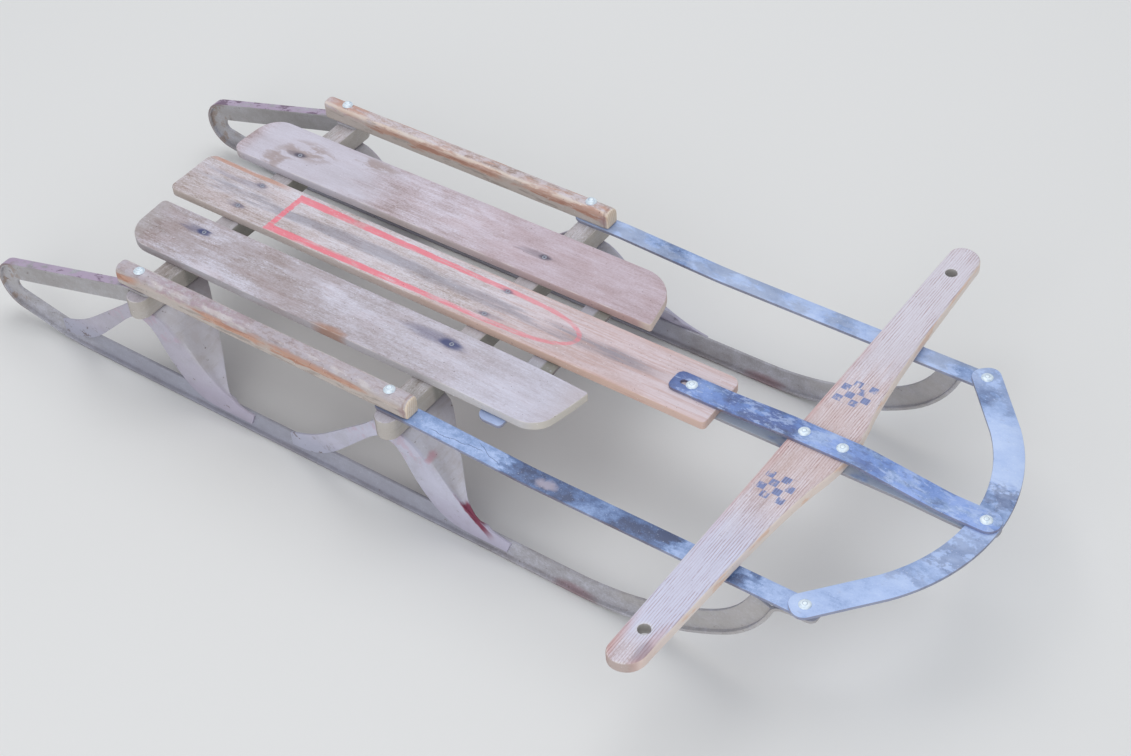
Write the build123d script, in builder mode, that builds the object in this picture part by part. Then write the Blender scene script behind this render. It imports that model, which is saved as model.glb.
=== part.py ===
"""Steering sled of wood slats on pressed steel knees and T-section steel runners.

Millimetres.  +X is forward, +Y is the left side, +Z is up.  The origin is on the
ground, midway along the sled and on its centre line.
"""
from math import acos, asin, atan2, cos, degrees, hypot, radians, sin
import os

from build123d import *

os.makedirs("parts", exist_ok=True)

# Plan along the sled, each length measured on from the one before it
tail_reach = 200.0
bench_spacing = 280.0
side_strap_length = 386.0
bow_depth = 72.0
bumper_width = 24.0
half_length = (tail_reach + bench_spacing + side_strap_length + bow_depth + bumper_width / 2) / 2
rear_bench_x = tail_reach - half_length
front_bench_x = rear_bench_x + bench_spacing
bumper_end_x = front_bench_x + side_strap_length
bumper_centre_x = bumper_end_x + bow_depth
pivot_reach = 197.0
pivot_x = front_bench_x + pivot_reach

# Sizes that several pieces share
side_y = 140.0
deck_top_z = 117.5
fit_gap = 0.3
pin_gap = 0.05
loose_gap = 0.6
flat_steel = 3.0

# Fasteners
bolt_radius = 3.0
bolt_head_radius = 6.0
bolt_head_height = 3.0
bolt_tail_radius = 4.5
bolt_tail_height = 1.5
rivet_radius = 2.5
rivet_head_radius = 5.0
rivet_head_height = 2.0

# Deck slats
slat_thick = 8.5
slat_width = 58.0
slat_gap = 15.5
slat_edge = 1.2
side_slat_rear_overhang = 65.0
side_slat_front_overhang = 127.0
centre_slat_rear_overhang = 74.0
centre_slat_pivot_margin = 30.0
slat_bottom_z = deck_top_z - slat_thick

# Wooden benches that carry the slats
bench_width = 21.0
bench_thick = 20.0
bench_overhang = 18.0
bench_top_z = slat_bottom_z
bench_bottom_z = bench_top_z - bench_thick

# Flat steel cross strap under the front of the deck
cross_reach = 73.0
cross_width = 26.0
cross_overhang = 8.0

# Runner, a T bar with its flange on the ground
flange_width = 10.0
flange_thick = 3.0
web_thick = 3.0
tee_height = 21.0
lug_width = 16.0
lug_reach = 12.0
lug_bend_radius = 16.0
loop_radius = 27.0
loop_rise = 12.3
loop_exit_angle = 11.5
loop_exit_radius = 150.0
nose_low_radius = 262.0
nose_low_angle = 32.5
nose_high_radius = 111.0
nose_tip_radius = 13.0
nose_lead = 11.0
split_gap = 1.5
lug_top_z = bench_top_z + flange_thick

# Side rails, lying on the thicker of the lug and the side strap
rail_rear_overhang = 25.0
rail_front_overhang = 22.0
rail_width = 15.0
rail_height = 18.0
rail_round = 4.0
rail_bottom_z = bench_top_z + max(flange_thick, flat_steel)
rail_top_z = rail_bottom_z + rail_height

# Knees, pressed from sheet; the side plate clears the tails of the bolts
sheet = 2.0
tail_clear = 0.5
knee_depth = 56.5
knee_rear_reach = 20.0
knee_front_reach = 12.0
knee_foot_reach = 117.0
knee_plate_y = side_y + bolt_tail_radius + tail_clear
knee_inner_y = knee_plate_y - knee_depth
knee_top_z = bench_bottom_z
runner_y = knee_plate_y - web_thick / 2
split_x = front_bench_x + knee_foot_reach + 5

# Steering parts
strap_width = 22.0
strap_rear_overhang = 18.0
slot_length = 8.0
bar_setback = 94.5
bar_thick = 11.0
bar_half_length = 264.0
bar_tip_depth = 29.5
bar_grip_depth = 34.5
bar_grip_y = 142.0
bar_hub_depth = 51.0
bar_clear = 2.0
rope_hole_inset = 36.0
rope_hole_setback = 14.5
rope_hole_radius = 5.0
side_strap_width = 18.0
bow_corner_inset = 45.0
bow_corner_lead = 39.0
bar_rear_x = pivot_x + bar_setback
bar_bottom_z = slat_bottom_z
bar_top_z = bar_bottom_z + bar_thick
side_strap_top_z = bar_bottom_z - bar_clear
side_strap_bottom_z = side_strap_top_z - flat_steel
bumper_top_z = side_strap_top_z + flat_steel
nose_lug_z = side_strap_bottom_z - flange_thick


# The deck slats are sawn boards with eased edges and rounded corners
def slat_outline(rear_x, front_x, inner_y, outer_y):
    with BuildLine() as edge:
        Polyline((rear_x + 10, inner_y), (front_x - 5, inner_y))
        Line((front_x - 5, inner_y), (front_x, inner_y + 4))
        Line((front_x, inner_y + 4), (front_x - 7, outer_y - 28))
        ThreePointArc((front_x - 7, outer_y - 28), (front_x - 17, outer_y - 8), (front_x - 38, outer_y))
        Line((front_x - 38, outer_y), (rear_x + 26, outer_y))
        ThreePointArc((rear_x + 26, outer_y), (rear_x + 9, outer_y - 8), (rear_x + 3, outer_y - 26))
        Line((rear_x + 3, outer_y - 26), (rear_x, inner_y + 11))
        ThreePointArc((rear_x, inner_y + 11), (rear_x + 3, inner_y + 3), (rear_x + 10, inner_y))
    return edge


side_inner_y = slat_width / 2 + slat_gap
side_outer_y = side_inner_y + slat_width
side_slat_rear_x = rear_bench_x - side_slat_rear_overhang
side_slat_front_x = front_bench_x + side_slat_front_overhang
centre_slat_rear_x = rear_bench_x - centre_slat_rear_overhang
centre_slat_front_x = pivot_x + centre_slat_pivot_margin

with BuildPart() as deck_slat_left:
    with BuildSketch(Plane.XY.offset(slat_bottom_z)):
        add(make_face(slat_outline(side_slat_rear_x, side_slat_front_x,
                                   side_inner_y, side_outer_y).line))
    extrude(amount=slat_thick)
    chamfer(deck_slat_left.faces().sort_by(Axis.Z)[-1].edges(), length=slat_edge)
deck_slat_left.part.label = "deck_slat_left"
export_step(deck_slat_left.part, "parts/deck_slat_left.step")

with BuildPart() as deck_slat_right:
    mirror(deck_slat_left.part, about=Plane.XZ)
deck_slat_right.part.label = "deck_slat_right"
export_step(deck_slat_right.part, "parts/deck_slat_right.step")

with BuildPart() as deck_slat_centre:
    with BuildSketch(Plane.XY.offset(slat_bottom_z)) as centre_outline:
        with Locations(((centre_slat_rear_x + centre_slat_front_x) / 2, 0)):
            Rectangle(centre_slat_front_x - centre_slat_rear_x, slat_width)
        fillet(centre_outline.vertices().group_by(Axis.X)[0], radius=9)
        fillet(centre_outline.vertices().group_by(Axis.X)[-1], radius=6)
    extrude(amount=slat_thick)
    chamfer(deck_slat_centre.faces().sort_by(Axis.Z)[-1].edges(), length=slat_edge)
    with Locations((pivot_x, 0, deck_top_z)):
        Hole(radius=rivet_radius + fit_gap, depth=slat_thick)
deck_slat_centre.part.label = "deck_slat_centre"
export_step(deck_slat_centre.part, "parts/deck_slat_centre.step")

# Benches, square wooden crossbars with round ends that stand out past the rails
for name, bench_x in (("bench_rear", rear_bench_x), ("bench_front", front_bench_x)):
    with BuildPart() as bench:
        with BuildSketch(Plane.XY.offset(bench_bottom_z)):
            with Locations((bench_x, 0)):
                SlotOverall(2 * (side_y + bench_overhang), bench_width, rotation=90)
        extrude(amount=bench_thick)
        with Locations((bench_x, side_y, bench_top_z), (bench_x, -side_y, bench_top_z)):
            Hole(radius=bolt_radius + fit_gap, depth=bench_thick)
    bench.part.label = name
    export_step(bench.part, f"parts/{name}.step")

# The cross strap ties the three slats together ahead of the front bench
with BuildPart() as cross_strap_front:
    with BuildSketch(Plane.XY.offset(slat_bottom_z - flat_steel)):
        with Locations((front_bench_x + cross_reach, 0)):
            SlotOverall(2 * (side_outer_y + cross_overhang), cross_width, rotation=90)
    extrude(amount=flat_steel)
cross_strap_front.part.label = "cross_strap_front"
export_step(cross_strap_front.part, "parts/cross_strap_front.step")

# Side rails, rounded along the top, with their corners cut off at both ends
rail_rear_x = rear_bench_x - rail_rear_overhang
rail_front_x = front_bench_x + rail_front_overhang
with BuildPart() as side_rail_left:
    with BuildSketch(Plane.XY.offset(rail_bottom_z)) as rail_outline:
        with Locations(((rail_rear_x + rail_front_x) / 2, side_y)):
            Rectangle(rail_front_x - rail_rear_x, rail_width)
        chamfer(rail_outline.vertices().group_by(Axis.X)[0], length=rail_round)
        chamfer(rail_outline.vertices().group_by(Axis.X)[-1], length=2 * rail_round, length2=rail_round)
    extrude(amount=rail_height)
    fillet(side_rail_left.edges().filter_by(Axis.X).group_by(Axis.Z)[-1], radius=rail_round)
    with Locations((rear_bench_x, side_y, rail_top_z), (front_bench_x, side_y, rail_top_z)):
        Hole(radius=bolt_radius + fit_gap, depth=rail_height)
side_rail_left.part.label = "side_rail_left"
export_step(side_rail_left.part, "parts/side_rail_left.step")

with BuildPart() as side_rail_right:
    mirror(side_rail_left.part, about=Plane.XZ)
side_rail_right.part.label = "side_rail_right"
export_step(side_rail_right.part, "parts/side_rail_right.step")

# The runner bar starts flat under the rear of the rail, drops back, loops round
# to the ground and runs forward on its flange
lug_bend_x = rear_bench_x - lug_reach - 2
loop_centre_x = -half_length + loop_radius
loop_centre_z = loop_rise + loop_radius
arm_run = lug_bend_x - loop_centre_x
arm_fall = lug_top_z - lug_bend_radius - loop_centre_z
arm_drop = atan2(arm_fall, arm_run) + asin((lug_bend_radius - loop_radius) / hypot(arm_run, arm_fall))
lug_line_x = lug_bend_x - lug_bend_radius * sin(arm_drop)
lug_line_z = lug_top_z - lug_bend_radius * (1 - cos(arm_drop))
loop_top_x = loop_centre_x - loop_radius * sin(arm_drop)
loop_top_z = loop_centre_z + loop_radius * cos(arm_drop)
exit_fall = radians(loop_exit_angle)
loop_low_x = loop_centre_x - loop_radius * sin(exit_fall)
loop_low_z = loop_centre_z - loop_radius * cos(exit_fall)
exit_blend_z = loop_exit_radius * (1 - cos(exit_fall))
exit_line_x = loop_low_x + (loop_low_z - exit_blend_z) * cos(exit_fall) / sin(exit_fall)
ground_start_x = exit_line_x + loop_exit_radius * sin(exit_fall)


def rear_path(start_x):
    """Outer face of the flange from the rear lug to the split, seen from the side."""
    with BuildLine() as path:
        if start_x > lug_bend_x:
            Line((start_x, lug_top_z), (lug_bend_x, lug_top_z))
            JernArc((lug_bend_x, lug_top_z), (-1, 0), lug_bend_radius, degrees(arm_drop))
        Line((lug_line_x, lug_line_z), (loop_top_x, loop_top_z))
        JernArc((loop_top_x, loop_top_z), (-cos(arm_drop), -sin(arm_drop)), loop_radius,
                180 - loop_exit_angle - degrees(arm_drop))
        Line((loop_low_x, loop_low_z), (exit_line_x, exit_blend_z))
        JernArc((exit_line_x, exit_blend_z), (cos(exit_fall), -sin(exit_fall)), loop_exit_radius,
                loop_exit_angle)
        Line((ground_start_x, 0), (split_x, 0))
    return path


# The nose rises in two arcs, then turns level to meet the side strap
low_rise = nose_low_radius * (1 - cos(radians(nose_low_angle)))
high_cos = nose_high_radius * cos(radians(nose_low_angle))
nose_steep = degrees(acos((low_rise + high_cos + nose_tip_radius - nose_lug_z)
                          / (nose_high_radius + nose_tip_radius)))
low_run = nose_low_radius * sin(radians(nose_low_angle))
high_run = nose_high_radius * (sin(radians(nose_steep)) - sin(radians(nose_low_angle)))
tip_run = nose_tip_radius * sin(radians(nose_steep))
tip_end_x = bumper_end_x - nose_lead
high_end_x = tip_end_x - tip_run
low_end_x = high_end_x - high_run
nose_start_x = low_end_x - low_run
high_end_z = low_rise + high_cos - nose_high_radius * cos(radians(nose_steep))


def nose_path(with_lug):
    """Outer face of the flange from the split to the nose, seen from the side."""
    low = radians(nose_low_angle)
    steep = radians(nose_steep)
    with BuildLine() as path:
        Line((split_x + split_gap, 0), (nose_start_x, 0))
        JernArc((nose_start_x, 0), (1, 0), nose_low_radius, nose_low_angle)
        JernArc((low_end_x, low_rise), (cos(low), sin(low)), nose_high_radius,
                nose_steep - nose_low_angle)
        if with_lug:
            JernArc((high_end_x, high_end_z), (cos(steep), sin(steep)), nose_tip_radius, -nose_steep)
            Line((tip_end_x, nose_lug_z), (bumper_end_x + lug_reach, nose_lug_z))
    return path


def bar_strip(path, depth):
    """Closed outline that lies within the depth given, inside the bend of the path."""
    with BuildSketch() as strip:
        with BuildLine():
            add(path.line)
            offset(path.line, amount=depth, side=Side.LEFT)
        make_face()
    return strip.sketch


with BuildPart() as runner_left:
    with BuildSketch(Plane.XZ.offset(-runner_y)):
        add(bar_strip(rear_path(rear_bench_x + lug_reach), flange_thick))
    extrude(amount=flange_width / 2, both=True)
    with BuildSketch(Plane.XZ.offset(-runner_y)):
        add(bar_strip(rear_path(lug_line_x), tee_height))
    extrude(amount=web_thick / 2, both=True)
    with BuildSketch(Plane.XY.offset(bench_top_z)):
        with Locations((rear_bench_x, side_y)):
            SlotOverall(2 * lug_reach, lug_width)
    extrude(amount=flange_thick)
    with Locations((rear_bench_x, side_y, lug_top_z)):
        Hole(radius=bolt_radius + fit_gap, depth=flange_thick)
runner_left.part.label = "runner_left"
export_step(runner_left.part, "parts/runner_left.step")

with BuildPart() as runner_right:
    mirror(runner_left.part, about=Plane.XZ)
runner_right.part.label = "runner_right"
export_step(runner_right.part, "parts/runner_right.step")

with BuildPart() as runner_nose_left:
    with BuildSketch(Plane.XZ.offset(-runner_y)):
        add(bar_strip(nose_path(True), flange_thick))
    extrude(amount=flange_width / 2, both=True)
    with BuildSketch(Plane.XZ.offset(-runner_y)):
        add(bar_strip(nose_path(False), tee_height))
    extrude(amount=web_thick / 2, both=True)
    with BuildSketch(Plane.XY.offset(nose_lug_z)):
        with Locations((bumper_end_x, side_y)):
            SlotOverall(2 * lug_reach, lug_width)
    extrude(amount=flange_thick)
    with Locations((bumper_end_x, side_y, side_strap_bottom_z)):
        Hole(radius=rivet_radius + fit_gap, depth=flange_thick)
runner_nose_left.part.label = "runner_nose_left"
export_step(runner_nose_left.part, "parts/runner_nose_left.step")

with BuildPart() as runner_nose_right:
    mirror(runner_nose_left.part, about=Plane.XZ)
runner_nose_right.part.label = "runner_nose_right"
export_step(runner_nose_right.part, "parts/runner_nose_right.step")

# Knees: a side plate with two curved legs, a scooped front plate that dies out
# towards the runner, and a flange under the bench.  Places are measured from the bench.
def leg_line(bench_x, *points):
    return [(bench_x + x, z) for x, z in points]


def crease_arcs(corner_x, corner_z):
    """Bend between side plate and front plate, from the foot up to the bench."""
    top_z = corner_z + knee_top_z
    low = ThreePointArc((corner_x + 90, corner_z + 26), (corner_x + 67, corner_z + 39.5),
                        (corner_x + 47, top_z - 31))
    high = ThreePointArc((corner_x + 47, top_z - 31), (corner_x + 31.5, top_z - 13.3),
                         (corner_x + knee_front_reach, top_z))
    return low, high


for name, bench_x in (("knee_rear", rear_bench_x), ("knee_front", front_bench_x)):
    with BuildPart() as front_plate:
        with BuildSketch(Plane.XZ.offset(-knee_inner_y)):
            with BuildLine():
                face_low, face_high = crease_arcs(bench_x, 0)
                back_low, back_high = crease_arcs(bench_x - 0.8 * sheet, -0.6 * sheet)
                Line(face_low @ 0, back_low @ 0)
                Polyline(face_high @ 1, (bench_x + knee_front_reach - 6, knee_top_z),
                         (bench_x + knee_front_reach - 6, knee_top_z - sheet), back_high @ 1)
            make_face()
        extrude(amount=-knee_depth)
        with BuildSketch(Plane.YZ.offset(bench_x - knee_rear_reach)):
            with BuildLine():
                waist = (knee_plate_y - 36, knee_top_z - 23)
                flare = ThreePointArc((knee_inner_y, knee_top_z + 1), (knee_plate_y - 45, knee_top_z - 10),
                                      waist)
                sweep = ThreePointArc(waist, (knee_plate_y - 25, 47), (knee_plate_y + 1, 30))
                Polyline(sweep @ 1, (knee_plate_y + 1, knee_top_z + 1), flare @ 0)
            make_face()
        extrude(amount=140, mode=Mode.INTERSECT)
    with BuildPart() as knee:
        with BuildSketch(Plane.XZ.offset(-knee_plate_y)):
            with BuildLine():
                Line(*leg_line(bench_x, (-knee_rear_reach, knee_top_z), (-78, 44.5)))
                ThreePointArc(*leg_line(bench_x, (-78, 44.5), (-96, 32.5), (-122, 23)))
                Polyline(*leg_line(bench_x, (-122, 23), (-128, 16), (-122, 9)))
                ThreePointArc(*leg_line(bench_x, (-122, 9), (-98, 11), (-74, 24)))
                Line(*leg_line(bench_x, (-74, 24), (-30, knee_top_z - 24)))
                ThreePointArc(*leg_line(bench_x, (-30, knee_top_z - 24), (-10, knee_top_z - 9.5),
                                        (8, knee_top_z - 21)))
                ThreePointArc(*leg_line(bench_x, (8, knee_top_z - 21), (23, 35), (56, 8)))
                Polyline(*leg_line(bench_x, (56, 8), (knee_foot_reach - 6, 8), (knee_foot_reach, 13),
                                   (knee_foot_reach - 2, 20), (90, 26)))
                crease_arcs(bench_x, 0)
                Line(*leg_line(bench_x, (knee_front_reach, knee_top_z), (-knee_rear_reach, knee_top_z)))
            make_face()
        extrude(amount=-sheet)
        add(front_plate.part)
        with BuildSketch(Plane.XY.offset(knee_top_z - sheet)):
            with Locations((bench_x - knee_rear_reach, knee_inner_y)):
                Rectangle(knee_rear_reach + knee_front_reach, knee_depth + sheet,
                          align=(Align.MIN, Align.MIN))
        extrude(amount=sheet)
        with Locations((bench_x, side_y, knee_top_z)):
            Hole(radius=bolt_radius + fit_gap, depth=sheet)
    knee.part.label = name + "_left"
    export_step(knee.part, f"parts/{name}_left.step")
    with BuildPart() as other_knee:
        mirror(knee.part, about=Plane.XZ)
    other_knee.part.label = name + "_right"
    export_step(other_knee.part, f"parts/{name}_right.step")

# Side straps lie between bench and rail, turn on the front bolt and fall to the bumper
strap_drop_start_x = front_bench_x + 31
strap_drop_end_x = front_bench_x + 135
side_strap_rear_x = front_bench_x - 16
strap_seat_top_z = bench_top_z + flat_steel
with BuildPart() as side_strap_left:
    with BuildSketch(Plane.XZ.offset(-side_y)):
        with BuildLine():
            Polyline((side_strap_rear_x, bench_top_z), (strap_drop_start_x, bench_top_z),
                     (strap_drop_end_x, side_strap_bottom_z),
                     (bumper_end_x + side_strap_width / 2, side_strap_bottom_z),
                     (bumper_end_x + side_strap_width / 2, side_strap_top_z),
                     (strap_drop_end_x, side_strap_top_z), (strap_drop_start_x, strap_seat_top_z),
                     (side_strap_rear_x, strap_seat_top_z), close=True)
        make_face()
    extrude(amount=side_strap_width / 2, both=True)
    fillet(side_strap_left.edges().filter_by(Axis.Z), radius=side_strap_width / 2 - 0.2)
    with Locations((front_bench_x, side_y, strap_seat_top_z)):
        Hole(radius=bolt_radius + pin_gap, depth=flat_steel)
    with Locations((bumper_end_x, side_y, side_strap_top_z)):
        Hole(radius=rivet_radius + fit_gap, depth=flat_steel)
side_strap_left.part.label = "side_strap_left"
export_step(side_strap_left.part, "parts/side_strap_left.step")

with BuildPart() as side_strap_right:
    mirror(side_strap_left.part, about=Plane.XZ)
side_strap_right.part.label = "side_strap_right"
export_step(side_strap_right.part, "parts/side_strap_right.step")

# The bumper is one flat bow from strap to strap
bow_side_x = bumper_end_x + bow_corner_lead
bow_side_y = side_y - bow_corner_inset
with BuildPart() as bumper:
    with BuildSketch(Plane.XY.offset(side_strap_top_z)):
        with BuildLine() as bow:
            Line((bumper_end_x, side_y), (bow_side_x, bow_side_y))
            ThreePointArc((bow_side_x, bow_side_y), (bumper_centre_x, 0), (bow_side_x, -bow_side_y))
            Line((bow_side_x, -bow_side_y), (bumper_end_x, -side_y))
        trace(bow.line, line_width=bumper_width)
        with Locations((bumper_end_x, side_y), (bumper_end_x, -side_y)):
            Circle(bumper_width / 2)
    extrude(amount=flat_steel)
    with Locations((bumper_end_x, side_y, bumper_top_z), (bumper_end_x, -side_y, bumper_top_z)):
        Hole(radius=rivet_radius + pin_gap, depth=flat_steel)
    with Locations((bumper_centre_x, 0, bumper_top_z)):
        Hole(radius=rivet_radius + fit_gap, depth=flat_steel)
bumper.part.label = "bumper"
export_step(bumper.part, "parts/bumper.step")

# Steering bar, a flat wooden handle with a straight back and a swelling in front
with BuildPart() as steering_bar:
    with BuildSketch(Plane.XY.offset(bar_bottom_z)):
        with BuildLine():
            Line((bar_rear_x, 16 - bar_half_length), (bar_rear_x, bar_half_length - 16))
            for side in (1, -1):
                tip_y = side * bar_half_length
                ThreePointArc((bar_rear_x, tip_y - side * 16), (bar_rear_x + 3.5, tip_y - side * 5),
                              (bar_rear_x + 13.5, tip_y))
                ThreePointArc((bar_rear_x + 13.5, tip_y), (bar_rear_x + 24.5, tip_y - side * 7),
                              (bar_rear_x + bar_tip_depth, tip_y - side * 21))
                Line((bar_rear_x + bar_tip_depth, tip_y - side * 21),
                     (bar_rear_x + bar_grip_depth, side * bar_grip_y))
                ThreePointArc((bar_rear_x + bar_grip_depth, side * bar_grip_y),
                              (bar_rear_x + bar_grip_depth + 4, side * 92),
                              (bar_rear_x + bar_hub_depth - 5.5, side * 40))
            ThreePointArc((bar_rear_x + bar_hub_depth - 5.5, 40), (bar_rear_x + bar_hub_depth, 0),
                          (bar_rear_x + bar_hub_depth - 5.5, -40))
        make_face()
    extrude(amount=bar_thick)
    rope_hole_x = bar_rear_x + rope_hole_setback
    rope_hole_y = bar_half_length - rope_hole_inset
    with Locations((rope_hole_x, rope_hole_y, bar_top_z), (rope_hole_x, -rope_hole_y, bar_top_z)):
        Hole(radius=rope_hole_radius, depth=bar_thick)
steering_bar.part.label = "steering_bar"
export_step(steering_bar.part, "parts/steering_bar.step")

# Two flat straps hold the bar, one above and one below, and end on the bumper; the upper
# one steps up from the slat to the thicker bar
strap_rear_x = pivot_x - strap_rear_overhang
strap_tip_x = half_length
bottom_under_z = slat_bottom_z - flat_steel
top_fall = bar_top_z - bumper_top_z
bottom_fall = bottom_under_z + flat_steel - side_strap_top_z
# name, underside at the pivot and under or over the bar, place of the two bends, fall
# between them, slot behind the pivot
straps = (("steering_strap_top", deck_top_z, bar_top_z, bar_rear_x + bar_hub_depth + 8.5,
           bumper_centre_x - 33, top_fall, True),
          ("steering_strap_bottom", bottom_under_z, bottom_under_z, bumper_centre_x - 63,
           bumper_centre_x - 23, bottom_fall, False))
for name, seat_z, under_z, bend_x, land_x, fall, slotted in straps:
    land_z = under_z - fall
    underside = [(strap_rear_x, seat_z), (bend_x, under_z), (land_x, land_z), (strap_tip_x, land_z)]
    if seat_z != under_z:
        underside[1:1] = [(centre_slat_front_x + 5, seat_z), (bar_rear_x - 5, under_z)]
    upper_side = [(x, z + flat_steel) for x, z in reversed(underside)]
    with BuildPart() as strap:
        with BuildSketch(Plane.XZ):
            with BuildLine():
                Polyline(*underside, *upper_side, close=True)
            make_face()
        extrude(amount=strap_width / 2, both=True)
        fillet(strap.edges().filter_by(Axis.Z), radius=strap_width / 2 - 1)
        with Locations((pivot_x, 0, seat_z + flat_steel)):
            Hole(radius=rivet_radius + pin_gap, depth=flat_steel)
        if slotted:
            with BuildSketch(Plane.XY.offset(seat_z)):
                with Locations((pivot_x - slot_length / 2, 0)):
                    SlotOverall(slot_length + 2 * (rivet_radius + pin_gap), 2 * (rivet_radius + pin_gap))
            extrude(amount=flat_steel, mode=Mode.SUBTRACT)
        with Locations((bumper_centre_x, 0, land_z + flat_steel)):
            Hole(radius=rivet_radius + loose_gap, depth=flat_steel)
    strap.part.label = name
    export_step(strap.part, f"parts/{name}.step")

# Bolts and rivets that other pieces turn on: shank, tapered head and flattened tail
bolt_places = [(x, y) for x in (rear_bench_x, front_bench_x) for y in (-side_y, side_y)]
bolt_size = (bolt_radius, bolt_head_radius, bolt_head_height, bolt_tail_radius, bolt_tail_height)
rivet_size = (rivet_radius, rivet_head_radius, rivet_head_height, rivet_head_radius, rivet_head_height)
centre_rivet_base_z = bottom_under_z - bottom_fall
fasteners = (
    ("rail_bolts", bolt_places, knee_top_z - sheet, rail_top_z, bolt_size),
    ("steering_pivot_rivet", [(pivot_x, 0.0)], bottom_under_z, deck_top_z + flat_steel,
     rivet_size),
    ("bumper_centre_rivet", [(bumper_centre_x, 0.0)], centre_rivet_base_z, bumper_top_z + flat_steel,
     rivet_size),
    ("bumper_end_rivet_left", [(bumper_end_x, side_y)], nose_lug_z, bumper_top_z, rivet_size),
    ("bumper_end_rivet_right", [(bumper_end_x, -side_y)], nose_lug_z, bumper_top_z, rivet_size),
)
for name, places, low_z, high_z, size in fasteners:
    shank, head_radius, head_height, tail_radius, tail_height = size
    with BuildPart() as fastener:
        with BuildSketch(Plane.XY.offset(low_z)):
            with Locations(*places):
                Circle(shank)
        extrude(amount=high_z - low_z)
        with BuildSketch(Plane.XY.offset(high_z)):
            with Locations(*places):
                RegularPolygon(head_radius, 12)
        extrude(amount=head_height, taper=35)
        with BuildSketch(Plane.XY.offset(low_z - tail_height)):
            with Locations(*places):
                RegularPolygon(tail_radius, 8)
        extrude(amount=tail_height)
    fastener.part.label = name
    export_step(fastener.part, f"parts/{name}.step")
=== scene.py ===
from math import acos, asin, atan2, cos, hypot, pi, radians, sin

import bmesh
import bpy
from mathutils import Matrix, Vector


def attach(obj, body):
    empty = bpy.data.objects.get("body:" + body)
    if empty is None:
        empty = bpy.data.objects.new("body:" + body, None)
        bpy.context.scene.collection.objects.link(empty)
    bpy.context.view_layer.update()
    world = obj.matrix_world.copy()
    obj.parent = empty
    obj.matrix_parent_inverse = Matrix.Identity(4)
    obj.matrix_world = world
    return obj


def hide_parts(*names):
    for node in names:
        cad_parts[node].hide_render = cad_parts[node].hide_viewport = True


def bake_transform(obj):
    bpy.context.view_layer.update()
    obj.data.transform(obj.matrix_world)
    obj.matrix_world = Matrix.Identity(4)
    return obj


# Metres: +X forward, +Y the sled's left, +Z up, the ground at 0.  Sizes are in mm.
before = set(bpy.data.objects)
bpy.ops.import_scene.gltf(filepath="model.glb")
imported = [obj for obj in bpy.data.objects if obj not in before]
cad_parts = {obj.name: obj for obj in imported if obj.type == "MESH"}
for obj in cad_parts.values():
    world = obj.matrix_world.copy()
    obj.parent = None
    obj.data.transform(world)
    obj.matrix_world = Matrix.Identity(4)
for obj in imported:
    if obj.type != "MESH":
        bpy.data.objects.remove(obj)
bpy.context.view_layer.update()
mm = 0.001


# Camera, pale floor and soft daylight.  The camera stands ahead of the sled's right
# front corner and looks back and down over it, as the photograph was taken.
bpy.ops.object.select_all(action="DESELECT")
bpy.ops.object.camera_add(location=(0.890595, -0.996816, 1.274388),
                          rotation=(radians(46.6866), radians(3.7987), radians(35.7937)))
camera = bpy.context.object
camera.name = "camera"
camera.data.sensor_width = 36
camera.data.lens = 66.6466
camera.data.clip_end = 60
bpy.context.scene.camera = camera
bpy.context.scene.view_settings.view_transform = "Standard"

bpy.ops.object.select_all(action="DESELECT")
bpy.ops.mesh.primitive_plane_add(size=30, location=(0, 0, -0.0005))
floor = bpy.context.object
floor.name = "floor"
floor_paper = bpy.data.materials.new("floor_paper")
floor_paper.use_nodes = True
floor_paper.node_tree.nodes["Principled BSDF"].inputs["Base Color"].default_value = (0.79, 0.79, 0.785, 1)
floor_paper.node_tree.nodes["Principled BSDF"].inputs["Roughness"].default_value = 0.9
floor.data.materials.append(floor_paper)

sky = bpy.data.worlds.new("soft_sky")
sky.use_nodes = True
sky.node_tree.nodes["Background"].inputs["Color"].default_value = (0.93, 0.96, 1, 1)
sky.node_tree.nodes["Background"].inputs["Strength"].default_value = 0.53
bpy.context.scene.world = sky
for lamp_name, place, width, power in (("lamp_over", (-0.4, 0.7, 2.6), 2.4, 30),
                                       ("lamp_side", (0.9, -2.3, 1.25), 2.0, 24)):
    bpy.ops.object.light_add(type="AREA", location=place)
    lamp = bpy.context.object
    lamp.name = lamp_name
    lamp.data.size = width
    lamp.data.energy = power
    lamp.rotation_euler = (Vector((0, 0, 0.05)) - Vector(place)).to_track_quat("-Z", "Y").to_euler()


# Runners.  Each is one rolled steel T bar, flange to the ground, bent hot: flattened
# under the rear of the rail, looped back to the ground and swept up to the side strap.
mesh, turn_to = bpy.ops.mesh, bpy.ops.object.mode_set


def settle(name, size=None):
    """Names the new primitive, sizes it in mm, puts its place into its mesh and opens it."""
    piece = bpy.context.object
    piece.name = piece.data.name = name
    if size:
        piece.scale = [length * mm for length in size]
    bpy.ops.object.transform_apply(location=True, rotation=True, scale=True)
    turn_to(mode="EDIT")
    return piece


def begin(kind, name, place, size=None, **shape):
    """Starts a piece from a plane, cube, circle or cylinder at a place in mm."""
    bpy.ops.object.select_all(action="DESELECT")
    if size:
        shape["size"] = 1
    getattr(mesh, f"primitive_{kind}_add")(location=Vector(place) * mm, **shape)
    return settle(name, size)


def opened():
    """The mesh that is open for editing."""
    body = bmesh.from_edit_mesh(bpy.context.edit_object.data)
    body.verts.ensure_lookup_table()
    return body


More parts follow.
